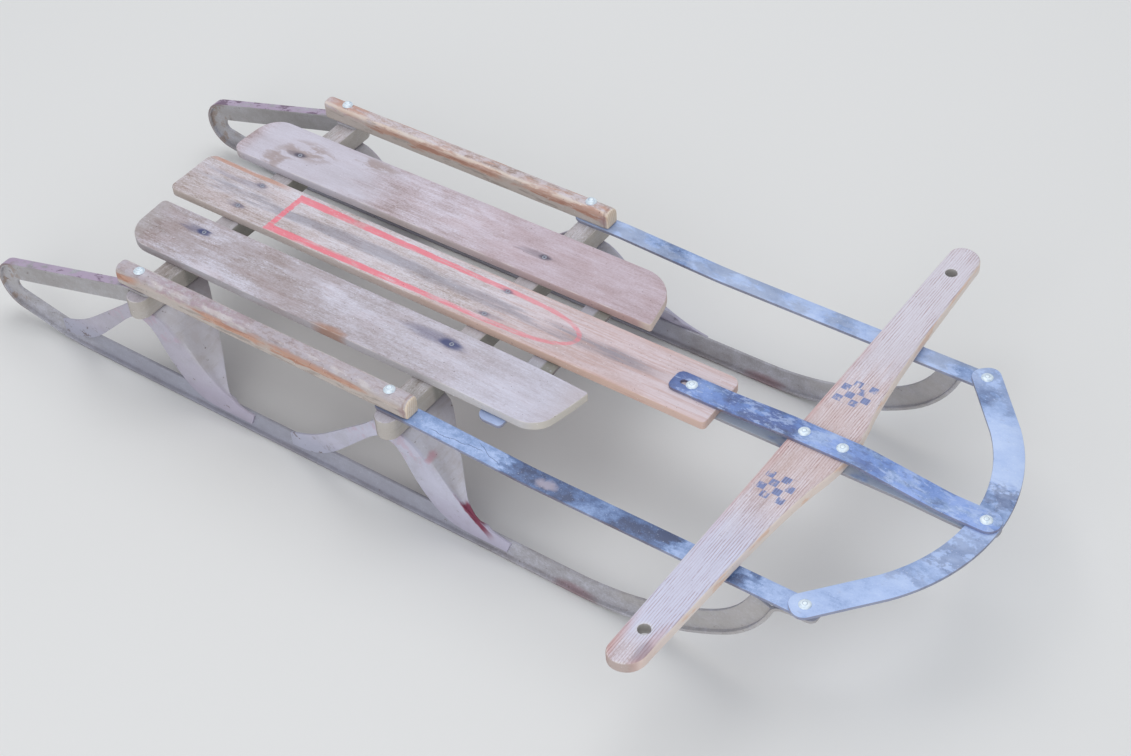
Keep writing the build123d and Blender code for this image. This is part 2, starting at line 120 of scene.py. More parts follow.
def pick(kind, wanted=lambda at: True):
    """Selects the corners, edges or faces whose corner points, in mm, are as wanted."""
    mesh.select_mode(type=kind)
    mesh.select_all(action="DESELECT")
    shape = opened()
    for item in {"VERT": shape.verts, "EDGE": shape.edges, "FACE": shape.faces}[kind]:
        corners = [item] if kind == "VERT" else item.verts
        item.select_set(bool(wanted([corner.co / mm for corner in corners])))
    shape.select_flush_mode()
    bmesh.update_edit_mesh(bpy.context.edit_object.data)


def cut(axis, *places):
    """Cuts new lines of edges through the whole piece, so many mm along the axis."""
    facing = [float(axis == name) for name in "xyz"]
    for at in places:
        mesh.select_all(action="SELECT")
        mesh.bisect(plane_co=[part * at * mm for part in facing], plane_no=facing)


def draw_out(x=0.0, y=0.0, z=0.0):
    """Pulls what is selected out by so many mm."""
    mesh.extrude_region_move(TRANSFORM_OT_translate={"value": (x * mm, y * mm, z * mm)})


def shift(x=0.0, y=0.0, z=0.0, **manner):
    """Moves what is selected by so many mm."""
    bpy.ops.transform.translate(value=(x * mm, y * mm, z * mm), **manner)


def swell(ratio, x, y):
    """Widens or narrows what is selected about an upright line."""
    bpy.ops.transform.resize(value=(ratio, ratio, 1), center_override=(x * mm, y * mm, 0))


def ease(width, steps=2, kind="EDGES"):
    """Rounds the selected edges or corners off."""
    mesh.bevel(offset=width * mm, segments=steps, affect=kind)


def close_up():
    """Joins corners that meet, faces outwards and leaves edit mode."""
    mesh.select_all(action="SELECT")
    mesh.remove_doubles(threshold=0.00001)
    mesh.normals_make_consistent(inside=False)
    turn_to(mode="OBJECT")


def tool(piece, kind, **settings):
    """Adds one modifier, sets it and applies it."""
    added = piece.modifiers.new(kind.lower(), kind)
    for setting, value in settings.items():
        setattr(added, setting, value)
    bpy.ops.object.modifier_apply(modifier=added.name)


def soften(piece, width=0.6, angle=40):
    """Breaks the sharp edges of pressed or rolled steel and smooths its shading."""
    tool(piece, "BEVEL", width=width * mm, segments=2, limit_method="ANGLE", angle_limit=radians(50))
    smooth(angle)


def smooth(angle=40):
    """Smooths the shading of all but the sharp edges."""
    bpy.ops.object.shade_smooth_by_angle(angle=radians(angle))


def alone(piece):
    """Selects one finished piece and nothing else."""
    bpy.ops.object.select_all(action="DESELECT")
    piece.select_set(True)
    bpy.context.view_layer.objects.active = piece


def copy(piece, name, x=0.0, y=0.0, mirrored=False):
    """A copy with its own mesh, moved by so many mm or mirrored to the sled's right."""
    alone(piece)
    bpy.ops.object.duplicate(linked=False)
    twin = settle(name)
    mesh.select_all(action="SELECT")
    shift(x, y)
    if mirrored:
        bpy.ops.transform.resize(value=(1, -1, 1), center_override=(0, 0, 0))
        mesh.normals_make_consistent(inside=False)
    turn_to(mode="OBJECT")
    return twin


runner_y, side_y = 143.5, 140
flange_width, flange_thick, web_thick, tee_height = 10, 3, 3, 21
lug_width, lug_top_z, lug_bend_x, lug_bend = 16, 112, -289, 16
loop_radius, loop_x, loop_z = 27, -448, 39.3
arm_run, arm_fall = lug_bend_x - loop_x, lug_top_z - lug_bend - loop_z
arm_drop = atan2(arm_fall, arm_run) + asin((lug_bend - loop_radius) / hypot(arm_run, arm_fall))
exit_drop, exit_bend = radians(11.5), 150
low_x, low_z = loop_x - loop_radius * sin(exit_drop), loop_z - loop_radius * cos(exit_drop)
exit_rise = exit_bend * (1 - cos(exit_drop))
exit_run = (low_z - exit_rise) / sin(exit_drop)
ground_x = low_x + exit_run * cos(exit_drop) + exit_bend * sin(exit_drop)
first_bend, long_bend, last_bend = 262, 111, 13
nose_lug_z, nose_lug_x = 101, 380
nose_low = radians(32.5)
low_rise = first_bend * (1 - cos(nose_low))
steep = acos((low_rise + long_bend * cos(nose_low) + last_bend - nose_lug_z) / (long_bend + last_bend))
high_x = nose_lug_x - last_bend * sin(steep)
low_end_x = high_x - long_bend * (sin(steep) - sin(nose_low))
nose_x = low_end_x - first_bend * sin(nose_low)

runner_left = begin("plane", "runner_bar_left", (ground_x, runner_y, flange_thick / 2),
                    (flange_thick, flange_width, 1), rotation=(0, pi / 2, 0))
cut("y", runner_y - web_thick / 2, runner_y + web_thick / 2)
pick("EDGE", lambda at: all(p.z > 2.9 and abs(p.y - runner_y) < 2 for p in at))
draw_out(z=tee_height - flange_thick)


def bend_bar(centre_x, centre_z, turn, steps):
    """Bends the bar on round a point; a positive turn goes up and over to the rear."""
    mesh.spin(steps=steps, angle=abs(turn), center=(centre_x * mm, 0, centre_z * mm),
              axis=(0, -1 if turn > 0 else 1, 0))


def flange_only():
    """Leaves just the flange of the bar's end selected, so that the web stops here."""
    for face in opened().faces:
        if face.select and face.calc_area() > 20 * mm * mm:
            face.select_set(False)


def lug(start_x, run, widening=4):
    """Flattens the bar's end into the wider lug that a bolt or rivet goes through."""
    draw_out(x=widening)
    bpy.ops.transform.resize(value=(1, lug_width / flange_width, 1), center_override=(0, runner_y * mm, 0))
    shift(y=side_y - runner_y)
    draw_out(x=run - widening)
    pick("EDGE", lambda at: all(abs(p.x - start_x - run) < 0.1 and abs(p.y - side_y) > 7.9 for p in at))
    ease(7, 6)


pick("FACE")
draw_out(x=nose_x - ground_x)
bend_bar(nose_x, first_bend, -nose_low, 12)
bend_bar(low_end_x - long_bend * sin(nose_low), low_rise + long_bend * cos(nose_low), nose_low - steep, 9)
flange_only()
high_z = low_rise + long_bend * (cos(nose_low) - cos(steep))
bend_bar(high_x + last_bend * sin(steep), high_z - last_bend * cos(steep), steep, 7)
lug(nose_lug_x, 23)

pick("FACE", lambda at: all(abs(p.x - ground_x) < 0.01 for p in at))
bend_bar(ground_x, exit_bend, exit_drop, 5)
draw_out(x=-exit_run * cos(exit_drop), z=exit_run * sin(exit_drop))
bend_bar(loop_x, loop_z, pi - exit_drop - arm_drop, 28)
arm_x = lug_bend_x - loop_x + (loop_radius - lug_bend) * sin(arm_drop)
draw_out(x=arm_x, z=arm_x * sin(arm_drop) / cos(arm_drop))
flange_only()
bend_bar(lug_bend_x, lug_top_z - lug_bend, arm_drop, 4)
lug(lug_bend_x, 26)
cut("x", *range(-300, 180, 20))
close_up()
soften(runner_left, 0.8, 35)
runner_right = copy(runner_left, "runner_bar_right", mirrored=True)


class Wire:
    """One socket of a finish.  Sums written with wires add their Math nodes."""

    def __init__(self, socket):
        self.socket = socket

    def node(self, kind, settings=(), sockets=(), out=0):
        """Adds a node to the same finish: its settings first, then values or wires."""
        tree = self.socket.id_data
        made = tree.nodes.new(kind)
        for setting, value in dict(settings).items():
            if setting == "stops":
                ramp = made.color_ramp.elements
                ramp[0].position, ramp[0].color = value[0]
                ramp[-1].position, ramp[-1].color = value[-1]
                for position, colour in value[1:-1]:
                    ramp.new(position).color = colour
            else:
                setattr(made, setting, value)
        for place, value in dict(sockets).items():
            if isinstance(value, Wire):
                tree.links.new(value.socket, made.inputs[place])
            else:
                made.inputs[place].default_value = value
        return Wire(made.outputs[out])

    def maths(self, operation, first, second=0.0):
        return self.node("ShaderNodeMath", {"operation": operation}, {0: first, 1: second})

    def __add__(self, other):
        return self.maths("ADD", self, other)

    def __sub__(self, other):
        return self.maths("SUBTRACT", self, other)

    def __rsub__(self, other):
        return self.maths("SUBTRACT", other, self)

    def __mul__(self, other):
        return self.maths("MULTIPLY", self, other)

    def __truediv__(self, other):
        return self.maths("DIVIDE", self, other)

    def __abs__(self):
        return self.maths("ABSOLUTE", self)

    def sine(self):
        return self.maths("SINE", self)

    def root(self):
        return self.maths("SQRT", self)

    __radd__ = __add__
    __rmul__ = __mul__


def tint(*parts):
    """A colour as a paint chart gives it, red, green and blue out of 255."""
    return [((part / 255 + 0.055) / 1.055) ** 2.4 for part in parts] + [1]


def ramp(value, *stops):
    """A colour that runs with a value; each stop is a value and a colour out of 255."""
    stops = [(at, tint(*parts)) for at, *parts in stops]
    return value.node("ShaderNodeValToRGB", {"stops": stops}, {0: value})


class Coats:
    """A colour with thin coats laid on it, each where its mask is 1."""

    def __init__(self, colour):
        self.colour = colour

    def __call__(self, mask, *parts, blend="MIX"):
        self.colour = self.colour.node("ShaderNodeMix", {"data_type": "RGBA", "blend_type": blend},
                                       {0: mask, 6: self.colour, 7: tint(*parts)}, 2)

    def deepen(self, mask, *parts):
        """Multiplies the colour by another instead of covering it."""
        self(mask, *parts, blend="MULTIPLY")


def recipe(name):
    """A new finish: its material, its cloudy patterns, and the place on the piece in mm."""
    material = bpy.data.materials.new(name)
    material.use_nodes = True
    place = Wire(material.node_tree.nodes["Principled BSDF"].inputs[0]).node("ShaderNodeTexCoord", out=3)
    parts = [place.node("ShaderNodeSeparateXYZ", (), {0: place}, axis) * 1000 for axis in range(3)]

    def cloud(lengths, seed, detail=4.0, rough=0.55, twist=0.0):
        """A cloudy pattern from 0 to 1, its patches so many mm long, wide and high."""
        spread = place.node("ShaderNodeVectorMath", {"operation": "MULTIPLY_ADD"}, {
            0: place, 1: [1000 / length for length in lengths], 2: (seed, seed * 1.7, seed * 0.3)})
        return spread.node("ShaderNodeTexNoise", (), {
            "Vector": spread, "Scale": 1.0, "Detail": detail, "Roughness": rough, "Distortion": twist})

    return material, cloud, parts


def soft(value, low, high):
    """0 up to low, 1 from high on, and a soft step between."""
    return value.node("ShaderNodeMapRange", {"interpolation_type": "SMOOTHSTEP"},
                      {0: value, 1: low, 2: high, 3: 0.0, 4: 1.0})


def stretch(value, start, end, fade):
    """1 between two places in mm, fading out beyond them."""
    return soft(value, start - fade, start + fade) * soft(value, end + fade, end - fade)


def spot(along, across, centre, reach):
    """1 at a centre in mm, fading to 0 at its reach along and across."""
    first = (along - centre[0]) / reach[0]
    second = (across - centre[1]) / reach[1]
    return soft(first * first + second * second, 1.0, 0.05)


def facing_up(wire):
    """How level the face is: 1 looking up, 0 upright, -1 looking down."""
    normal = wire.node("ShaderNodeTexCoord", out=1)
    return normal.node("ShaderNodeSeparateXYZ", (), {0: normal}, 2)


def coat(piece, depth, material, colour, rough, height):
    """Finishes a piece: its colour, its gloss, and its grain raised by so many mm."""
    shader, links = material.node_tree.nodes["Principled BSDF"], material.node_tree.links
    bump = height.node("ShaderNodeBump", (), {"Strength": 1.0, "Distance": depth * mm, "Height": height})
    for socket, wire in (("Base Color", colour), ("Roughness", rough), ("Normal", bump)):
        links.new(wire.socket, shader.inputs[socket])
    piece.data.materials.clear()
    piece.data.materials.append(material)


def sheet_paint(name, seed, marks):
    """Old paint on rolled steel, weathered to a chalky grey; marks adds what is local."""
    material, cloud, (x, y, z) = recipe(name)
    mottle = cloud((12, 8, 8), seed + 4, 5, 0.6)
    grit = cloud((1.6, 1.6, 1.6), seed + 7, 2)
    tone = cloud((60, 34, 34), seed, 4) * 0.5 + mottle * 0.3 + grit * 0.25
    lay = Coats(ramp(tone, (0.42, 148, 144, 148), (0.50, 162, 160, 166),
                     (0.56, 173, 172, 180), (0.64, 190, 190, 202)))
    marks(lay, cloud, x, y, z)
    chips = soft(cloud((7, 7, 5), seed + 11, 5, 0.66), 0.67, 0.7)
    lay(chips * 0.7, 108, 92, 84)
    lay(soft(grit, 0.68, 0.76) * 0.4, 214, 214, 220)
    return material, lay.colour, 0.62 - mottle * 0.15 + chips * 0.2, mottle * 0.5 + grit * 0.2 - chips * 0.6


def runner_marks(lay, cloud, x, y, z):
    """Mauve paint left along the loops' outer face, a beige web, and darker towards the ground."""
    ragged = cloud((22, 9, 9), 41, 5, 0.6) - 0.5
    up = facing_up(x)
    from_loop = (x - loop_x) * (x - loop_x) + (z - loop_z) * (z - loop_z)
    skin = soft(from_loop.root(), 24.5, 25.5) * soft(x, loop_x + 6, loop_x - 8)
    top_skin = soft(up, 0.5, 0.85) * soft(z, 40, 60) * stretch(x, -470, -285, 12)
    rusty = soft(cloud((9, 9, 9), 47, 4, 0.64), 0.52, 0.62) * soft(x, -430, -460)
    bare = top_skin * soft(ragged + soft(y, 120, 150) * 0.09 + soft(abs(y), 147, 149) * 0.05, 0.1, 0.16)
    lay(soft(abs(up), 0.5, 0.2) * soft(z, 14, 40) * 0.4, 180, 176, 172)
    lay(stretch(x + 60 * ragged, -370, 90, 40) * soft(z, 30, 18) * 0.7, 150, 152, 168)
    lay(rusty * 0.6, 146, 122, 104)
    lay(skin * 0.75, 128, 106, 108)
    lay(top_skin * soft(ragged, -0.2, -0.02) * 0.85, 182, 163, 190)
    lay(bare * 0.75, 98, 74, 96)
    lay(stretch(x, 225, 372, 14) * soft(z, 3, 24) * soft(ragged, -0.2, 0.1) * 0.4, 184, 180, 176)
    lay(spot(x + 14 * ragged, z, (182, 2), (26, 8)) * 0.5, 134, 84, 92)
    lay.deepen(soft(z + ragged * 8, 5, 0) * 0.6, 206, 194, 186)


for runner, side, seed in ((runner_left, "left", 3.1), (runner_right, "right", 8.4)):
    coat(runner, 0.35, *sheet_paint(f"runner_paint_{side}", seed, runner_marks))
    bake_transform(runner)
    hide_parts(f"runner_{side}", f"runner_nose_{side}")


# Knees.  Each is pressed from one steel sheet: a side plate with two legs welded to the
# runner, a scooped plate in front, and a flange that the bench is bolted down on.
def lead(was, now):
    """Extrudes the selected edges and moves each new corner from its place to its next."""
    draw_out()
    mesh.select_mode(type="VERT")
    fresh = [corner.index for corner in opened().verts if corner.select]
    waiting = list(fresh)
    for old, new in zip(was, now):
        body = opened()
        mine = min(waiting, key=lambda i: (body.verts[i].co / mm - Vector(old)).length)
        waiting.remove(mine)
        mesh.select_all(action="DESELECT")
        body.verts[mine].select_set(True)
        shift(*(Vector(new) - Vector(old)))
    body = opened()
    mesh.select_all(action="DESELECT")
    for index in fresh:
        body.verts[index].select_set(True)
    body.select_flush(True)


def near(point, place, reach=0.05):
    return (point - Vector(place)).length < reach


rear_bench_x, front_bench_x = -275, 5
knee_top_z, knee_y = 89, 147
front_arch = [(-10, 79.5), (1, 76), (8.5, 67.5), (14, 55), (20, 43), (28, 31), (38, 19.5), (49, 11.5),
              (62, 8), (84, 8), (110, 8)]
crease = [(12, 89), (22.5, 83), (31.5, 75.7), (39.5, 67), (47, 58), (56.5, 48), (67, 39.5), (78.5, 32),
          (90, 26), (103, 22), (115, 20)]
rear_arch = [(-10, 79.5), (-21, 73), (-33, 62), (-48, 48), (-63, 34), (-77, 22), (-92, 13), (-108, 9.5),
             (-122, 9)]
rear_edge = [(12, 89), (-20, 89), (-36, 76.5), (-50.5, 65.5), (-64.5, 54.8), (-78, 44.5), (-91, 35.5),
             (-105, 29), (-122, 23)]
scoop_rows, scoop_deep = 4, 4


def press_knee(name, bench_x, rim_y):
    """One left knee; rim_y is the free rim of its front plate, top to foot."""
    def on_side(point):
        return (bench_x + point[0], knee_y, point[1])

    def scoop_row(row):
        share = row / scoop_rows
        places = []
        for step, (free_y, (x, z)) in enumerate(zip(rim_y, crease)):
            depth = scoop_deep * sin(pi * min(share, 0.98)) * min(1, step / 2) * min(1, (8 - step) / 3)
            places.append((bench_x + x - 0.8 * depth, knee_y + (free_y - knee_y) * share, z - 0.6 * depth))
        return places

    knee = begin("plane", name, (bench_x + 6, knee_y, 82), (20, 8, 1),
                 rotation=(pi / 2, 0, 0))
    pick("EDGE", lambda at: all(p.z < 82 for p in at))
    mesh.delete(type="VERT")
    mesh.select_all(action="SELECT")
    low_end, high_end = (bench_x - 4, knee_y, 86), (bench_x + 16, knee_y, 86)
    lead([low_end, high_end], [on_side(front_arch[0]), on_side(crease[0])])
    pick("VERT", lambda at: near(at[0], low_end) or near(at[0], high_end))
    mesh.delete(type="VERT")
    for arch, rim in ((front_arch, crease), (rear_arch, rear_edge)):
        pick("EDGE", lambda at: all(near(p, on_side(arch[0])) or near(p, on_side(rim[0])) for p in at))
        for step in range(1, len(arch)):
            lead([on_side(arch[step - 1]), on_side(rim[step - 1])], [on_side(arch[step]), on_side(rim[step])])
    pick("EDGE", lambda at: all(any(near(p, place) for place in scoop_row(0)) for p in at))
    for row in range(scoop_rows):
        lead(scoop_row(row)[:8], scoop_row(row + 1)[:8])
    pick("EDGE", lambda at: all(p.z > knee_top_z - 0.05 and p.y > knee_y - 0.05 for p in at))
    for row in range(scoop_rows):
        draw_out(y=(rim_y[0] - knee_y) / scoop_rows)
    close_up()
    tool(knee, "SUBSURF", levels=1, render_levels=1, boundary_smooth="PRESERVE_CORNERS")
    tool(knee, "SOLIDIFY", thickness=2 * mm, offset=-1, use_even_offset=True)
    soften(knee, 0.5)
    return knee


def knee_marks(bench_x, red, pale):
    """Beige inside the crease, pale outside it, red paint left low in it and a pink smudge above."""
    def marks(lay, cloud, x, y, z):
        ragged = cloud((9, 6, 9), 23, 5, 0.6) - 0.5
        blotch = soft(cloud((16, 14, 14), 29, 4, 0.6), 0.46, 0.6)
        streaks = soft(cloud((6, 30, 12), 33, 4, 0.6), 0.5, 0.62)
        chipped = soft(cloud((8, 8, 6), 31, 5, 0.66), 0.57, 0.62)
        outer, inner = soft(abs(y), 141, 145), soft(abs(y), 145.5, 141)
        run = (x - bench_x - 47) * 0.8 - (z - 58) * 0.6
        off = (x - bench_x - 47) * 0.6 + (z - 58) * 0.8 + 2.5
        left_red = soft(off + run * 0.09 + 4 * ragged, -0.8, 1.2) * soft(off, 3.5, 1)
        left_red = left_red * stretch(run, 14, 60, 8)
        smudge = spot(x + 7 * ragged, z + 7 * ragged, (bench_x + 34, 72), (4, 7)) * soft(abs(y), 128, 136)
        heel = soft(x, bench_x - 20, bench_x - 40) * soft(z, 40, 20)
        lay(inner * 0.65, 204, 202, 210)
        lay(inner * blotch * 0.25, 176, 168, 168)
        lay(inner * streaks * 0.2, 156, 146, 138)
        lay(soft(x + z * 0.4, bench_x + 74, bench_x + 82) * inner * 0.35, 188, 186, 206)
        lay(outer * (0.8 - blotch * 0.2), *pale)
        lay(soft(ragged, 0.0, 0.12) * outer * soft(z, 56, 70) * 0.45, 190, 162, 178)
        lay(outer * soft(z + 20 * ragged, 44, 20) * 0.4, 168, 158, 182)
        lay(left_red * soft(abs(y), 139, 142) * red, 122, 48, 74)
        lay(smudge * red * 0.7, 190, 140, 152)
        lay(heel * 0.45, 168, 176, 194)
        lay(heel * chipped * 0.8, 104, 88, 84)
    return marks


for place, bench_x, red, pale, rim_y in (
        ("front", front_bench_x, 1.0, (198, 197, 216), (85, 92.5, 102, 110, 117.5, 127, 139.5, 145.5, 147)),
        ("rear", rear_bench_x, 0.0, (186, 181, 196), (79, 87, 95, 102, 108.5, 116.5, 127, 138, 147))):
    knee_left = press_knee(f"knee_{place}_left_pressed", bench_x, rim_y)
    knee_right = copy(knee_left, f"knee_{place}_right_pressed", mirrored=True)
    for piece, side in ((knee_left, "left"), (knee_right, "right")):
        coat(piece, 0.3, *sheet_paint(f"knee_paint_{place}_{side}", 4.4 + 3 * red + len(side),
                                      knee_marks(bench_x, red if side == "right" else 0.0, pale)))
        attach(piece, "frame")
        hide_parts(f"knee_{place}_{side}")


# Benches.  Two square crossbars of hardwood, their ends rounded on the saw, that lie on
# the knees' flanges and are bolted down through the rails.
def is_level(at):
    return abs(at[0].z - at[1].z) < 0.05


def is_upright(at):
    return (at[0] - at[1]).xy.length < 0.05


def wear(piece, depth, spread, along, seed):
    """Rubs the piece uneven: a cloud pattern, drawn out along the grain, moves its skin."""
    pattern = bpy.data.textures.new(f"{piece.name}_wear", "CLOUDS")
    pattern.noise_scale = spread * mm
    pattern.noise_depth = 2
    bpy.ops.object.select_all(action="DESELECT")
    bpy.ops.object.empty_add(location=(seed, seed / 3, seed / 7))
    grain = bpy.context.object
    grain.scale = along
    alone(piece)
    tool(piece, "DISPLACE", texture=pattern, texture_coords="OBJECT", texture_coords_object=grain,
         mid_level=0.5, strength=2 * depth * mm)
    alone(grain)
    bpy.ops.object.delete()
    alone(piece)


bench_length, bench_width, bench_thick = 316, 21, 20
bench_front = begin("cube", "bench_front_wood", (front_bench_x, 0, knee_top_z + bench_thick / 2),
                    (bench_width, bench_length, bench_thick))
pick("EDGE", is_upright)
ease(bench_width / 2 - 0.3, 8)
pick("EDGE", is_level)
ease(1.1, 3)
cut("y", *range(-144, 156, 12))
cut("x", front_bench_x - 5, front_bench_x, front_bench_x + 5)
close_up()
bench_rear = copy(bench_front, "bench_rear_wood", x=rear_bench_x - front_bench_x)


def wood(name, tones, seed, grain_y, marks, sides, rib=0.0):
    """Bare board, weathered: tones run dark to pale, sides is its edge faces' colour."""
    def lie(long, wide, high):
        return (wide, long, high) if grain_y else (long, wide, high)

    material, cloud, (x, y, z) = recipe(name)
    across = x if grain_y else y
    slow = cloud(lie(100, 28, 26), seed, 3, 0.5)
    blotch = cloud(lie(26, 10, 10), seed + 2, 5, 0.64)
    grain = cloud(lie(70, 2.4, 4), seed + 3, 4, 0.6, 0.3)
    fine = cloud(lie(13, 0.7, 1.2), seed + 5, 3, 0.62)
    fuzz = cloud(lie(2.4, 1.1, 1.1), seed + 6, 3, 0.65)
    drift = cloud(lie(230, 36, 36), seed + 9, 2, 0.5)
    tone = slow * 0.36 + blotch * 0.28 + grain * 0.2 + fuzz * 0.32
    lay = Coats(ramp(tone, *((at, *parts) for at, parts in zip((0.465, 0.54, 0.605, 0.685), tones))))
    browned = soft(cloud(lie(50, 16, 14), seed + 15, 5, 0.6), 0.44, 0.64)
    rings = soft((across * 0.9 + drift * 46).sine(), 0.1, 1.0) * soft(drift, 0.4, 0.6)
    lay.deepen(browned * 0.5, 242, 230, 224)
    lay.deepen(rings * 0.2, 232, 224, 220)
    lay.deepen(soft(fine, 0.54, 0.66) * 0.75, 222, 208, 202)
    lay(soft(fine, 0.42, 0.32) * soft(blotch, 0.46, 0.6) * (0.1 if rib else 0.35), 230, 229, 238)
    up = facing_up(x)
    side = soft(abs(up), 0.8, 0.45)
    lay(side * 0.7, *sides)
    marks(lay, cloud, x, y, z, side)
    arris = soft(abs(up), 0.985, 0.9) * soft(abs(up), 0.4, 0.6)
    chafed = soft(cloud(lie(26, 8, 8), seed + 13, 4), 0.47, 0.6)
    scuff = soft(cloud(lie(5, 3, 4), seed + 17, 5, 0.7), 0.56, 0.72) * soft(slow, 0.46, 0.58)
    pits = soft(cloud((2, 2, 2), seed + 19, 1), 0.27, 0.21)
    specks = soft(cloud((1.5, 1.5, 1.5), seed + 21, 1), 0.745, 0.785)
    lay(arris * chafed * 0.4, 226, 220, 216)
    lay(scuff * 0.3, 228, 226, 236)
    lay.deepen(pits * 0.8, 170, 160, 158)
    lay(specks * 0.75, 242, 241, 245)
    lay.deepen(soft(up, -0.3, -0.8) * 0.7, 202, 182, 166)
    height = grain * 0.4 + fine * 0.4 + rings * 0.12 + fuzz * 0.25 + blotch * 0.15 - pits * 0.3
    if rib:
        sway = cloud(lie(46, 6, 9), seed + 23, 4, 0.6)
        ribs = (across * rib + drift * 7 + sway * 9).sine()
        patchy = 0.3 + 0.7 * (soft(blotch, 0.4, 0.56) * soft(sway, 0.36, 0.54))
        lay.deepen(soft(ribs, 0.1, 0.98) * (1 - side) * patchy * 0.8, 206, 180, 178)
        height = height + ribs * 0.14 * (1 - side)
    return material, lay.colour, 0.86 - grain * 0.16, height


def bench_marks(bench_x):
    """Lavender-grey on top, a browner tip dark on its rear half, and painted shade on the front face."""
    def marks(lay, cloud, x, y, z, side):
        ragged = cloud((9, 9, 9), 5, 4) - 0.5
        between = soft(abs(y), 104, 98)
        tip = soft(abs(y) + 8 * ragged, 149, 157) * side
        lay(between * (1 - side) * 0.5, 196, 192, 200)
        # Painted shade: the bench's front face, dark where it shows between the slats.
        lay(between * soft(x, bench_x + 9.4, bench_x + 10.2) * 0.6, 122, 124, 118)
        lay(tip * 0.5, 182, 176, 172)
        lay(tip * soft(x + 6 * ragged, bench_x - 2, bench_x - 7) * 0.7, 116, 102, 98)
        lay(soft(abs(y), 138, 150) * (1 - side) * 0.55, 180, 176, 190)
    return marks


bench_tones = (152, 146, 142), (177, 172, 172), (193, 190, 194), (208, 206, 214)
for piece, name, bench_x, seed in ((bench_front, "bench_front", front_bench_x, 3.1),
                                   (bench_rear, "bench_rear", rear_bench_x, 7.7)):
    alone(piece)
    wear(piece, 0.25, 11, (1, 4, 1), seed)
    smooth()
    coat(piece, 0.3, *wood(f"{name}_wood", bench_tones, seed, True, bench_marks(bench_x), (188, 182, 172)))
    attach(piece, "frame")
    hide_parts(name)


# Cross strap.  A short flat steel bar under the front of the deck, its ends rounded,
# that ties the three slats together ahead of the front bench.
cross_x, cross_width, cross_length, flat_steel = 78, 25.5, 220, 3
bench_top_z, deck_top_z = 109, 117.5
cross_strap = begin("cube", "cross_strap_steel", (cross_x, 0, bench_top_z - flat_steel / 2),
                    (cross_width, cross_length, flat_steel))
for corner, way in ((9, -1), (4, 1)):
    pick("EDGE", lambda at: is_upright(at) and way * (at[0].x - cross_x) > cross_width / 2 - 0.1)
    ease(corner, 7)
pick("EDGE", is_level)
ease(0.7)
cut("y", -44, -34)
pick("VERT", lambda at: at[0].y < -43)
shift(z=-1.6)
close_up()
smooth()


def steel(name, seed, pale, runs, marks, fray=60, crosswise=False):
    """Blued flat steel: dark slate where the bluing holds, smooth and pale where it has gone, with painted
    sky reflection.

    pale lifts the whole piece; each run lifts it from start to end, fading, by so much.
    """
    material, cloud, (x, y, z) = recipe(name)
    slow = cloud((34, 20, 20), seed, 3, 0.5)
    mottle = cloud((7, 5, 5), seed + 4, 5, 0.66)
    grit = cloud((1.3, 1.3, 1.3), seed + 7, 2)
    ragged = cloud((26, 12, 12), seed + 9, 6, 0.68) - 0.5
    tone = slow * 0.3 + mottle * 0.22 + grit * 0.08 + pale
    for start, end, fade, lift in runs:
        tone = tone + lift * stretch((y if crosswise else x) + fray * ragged, start, end, fade)
    # The pale blue-white stops are painted sky reflection as well as worn bluing.
    lay = Coats(ramp(tone, (0.25, 72, 84, 118), (0.33, 98, 122, 168), (0.41, 138, 163, 209),
                     (0.48, 170, 192, 235), (0.60, 194, 212, 246)))
    marks(lay, cloud, x, y)
    rim = soft(abs(facing_up(x)), 0.93, 0.55)
    rust = soft(cloud((9, 5, 5), seed + 11, 5, 0.66), 0.62, 0.7)
    lay(soft(grit, 0.66, 0.75) * 0.55, 226, 233, 247)
    lay(rim * 0.6, 124, 112, 116)
    lay(rust * (0.12 + rim * 0.6), 136, 108, 100)
    return material, lay.colour, 0.5 - slow * 0.12 + rust * 0.25, mottle * 0.4 + grit * 0.25 + rust * 0.4


def cross_strap_marks(lay, cloud, x, y):
    """Lavender-grey where it shows between the slats, darker along the front, blue at the end: painted sky
    reflection.
    """
    ragged = cloud((8, 14, 8), 51, 4, 0.6) - 0.5
    shown = soft(abs(y), 103, 99)
    lay(shown * 0.85, 180, 176, 180)
    lay(soft(x + 4 * ragged, 77, 80) * shown * 0.9, 128, 127, 118)
    # Painted sky reflection: the pale blue of the end tab.
    lay(soft(abs(y), 100, 104) * 0.7, 172, 186, 220)


coat(cross_strap, 0.25, *steel("cross_strap_blued", 2.2, 0.14, (), cross_strap_marks))
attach(cross_strap, "frame")
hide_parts("cross_strap_front")


# Deck slats.  Three sawn boards with the corners taken off and the edges eased; the
# centre one is longer and carries the steering pivot.
slat_thick, slat_width, slat_gap = 8.5, 58, 15.5
slat_inner_y = slat_width / 2 + slat_gap
slat_outer_y = slat_inner_y + slat_width
side_slat_rear_x, side_slat_front_x = -340, 132
centre_slat_rear_x, centre_slat_front_x = -349, 232


def board(name, rear_x, front_x, inner_y, outer_y, slants, corners):
    """One board laid on the benches; slants move its outer corners, corners round all four."""
    piece = begin("plane", name, ((rear_x + front_x) / 2, (inner_y + outer_y) / 2, deck_top_z),
                  (front_x - rear_x, outer_y - inner_y, 1))
    places = [(rear_x, inner_y), (rear_x, outer_y), (front_x, inner_y), (front_x, outer_y)]
    for (x, y), slant in zip(places, slants):
        pick("VERT", lambda at: near(at[0], (x, y, deck_top_z)))
        shift(slant)
    for (x, y), slant, corner in zip(places, slants, corners):
        pick("VERT", lambda at: near(at[0], (x + slant, y, deck_top_z)))
        ease(corner, 9, "VERTICES")
    pick("FACE")
    draw_out(z=-slat_thick)
    pick("EDGE", is_level)
    ease(1.1, 3)
    cut("x", *range(10 * int(rear_x / 10) + 10, 10 * int(front_x / 10) + 10, 10))
    cut("y", *(inner_y + (outer_y - inner_y) * share / 6 for share in (1, 2, 3, 4, 5)))
    close_up()
    return piece


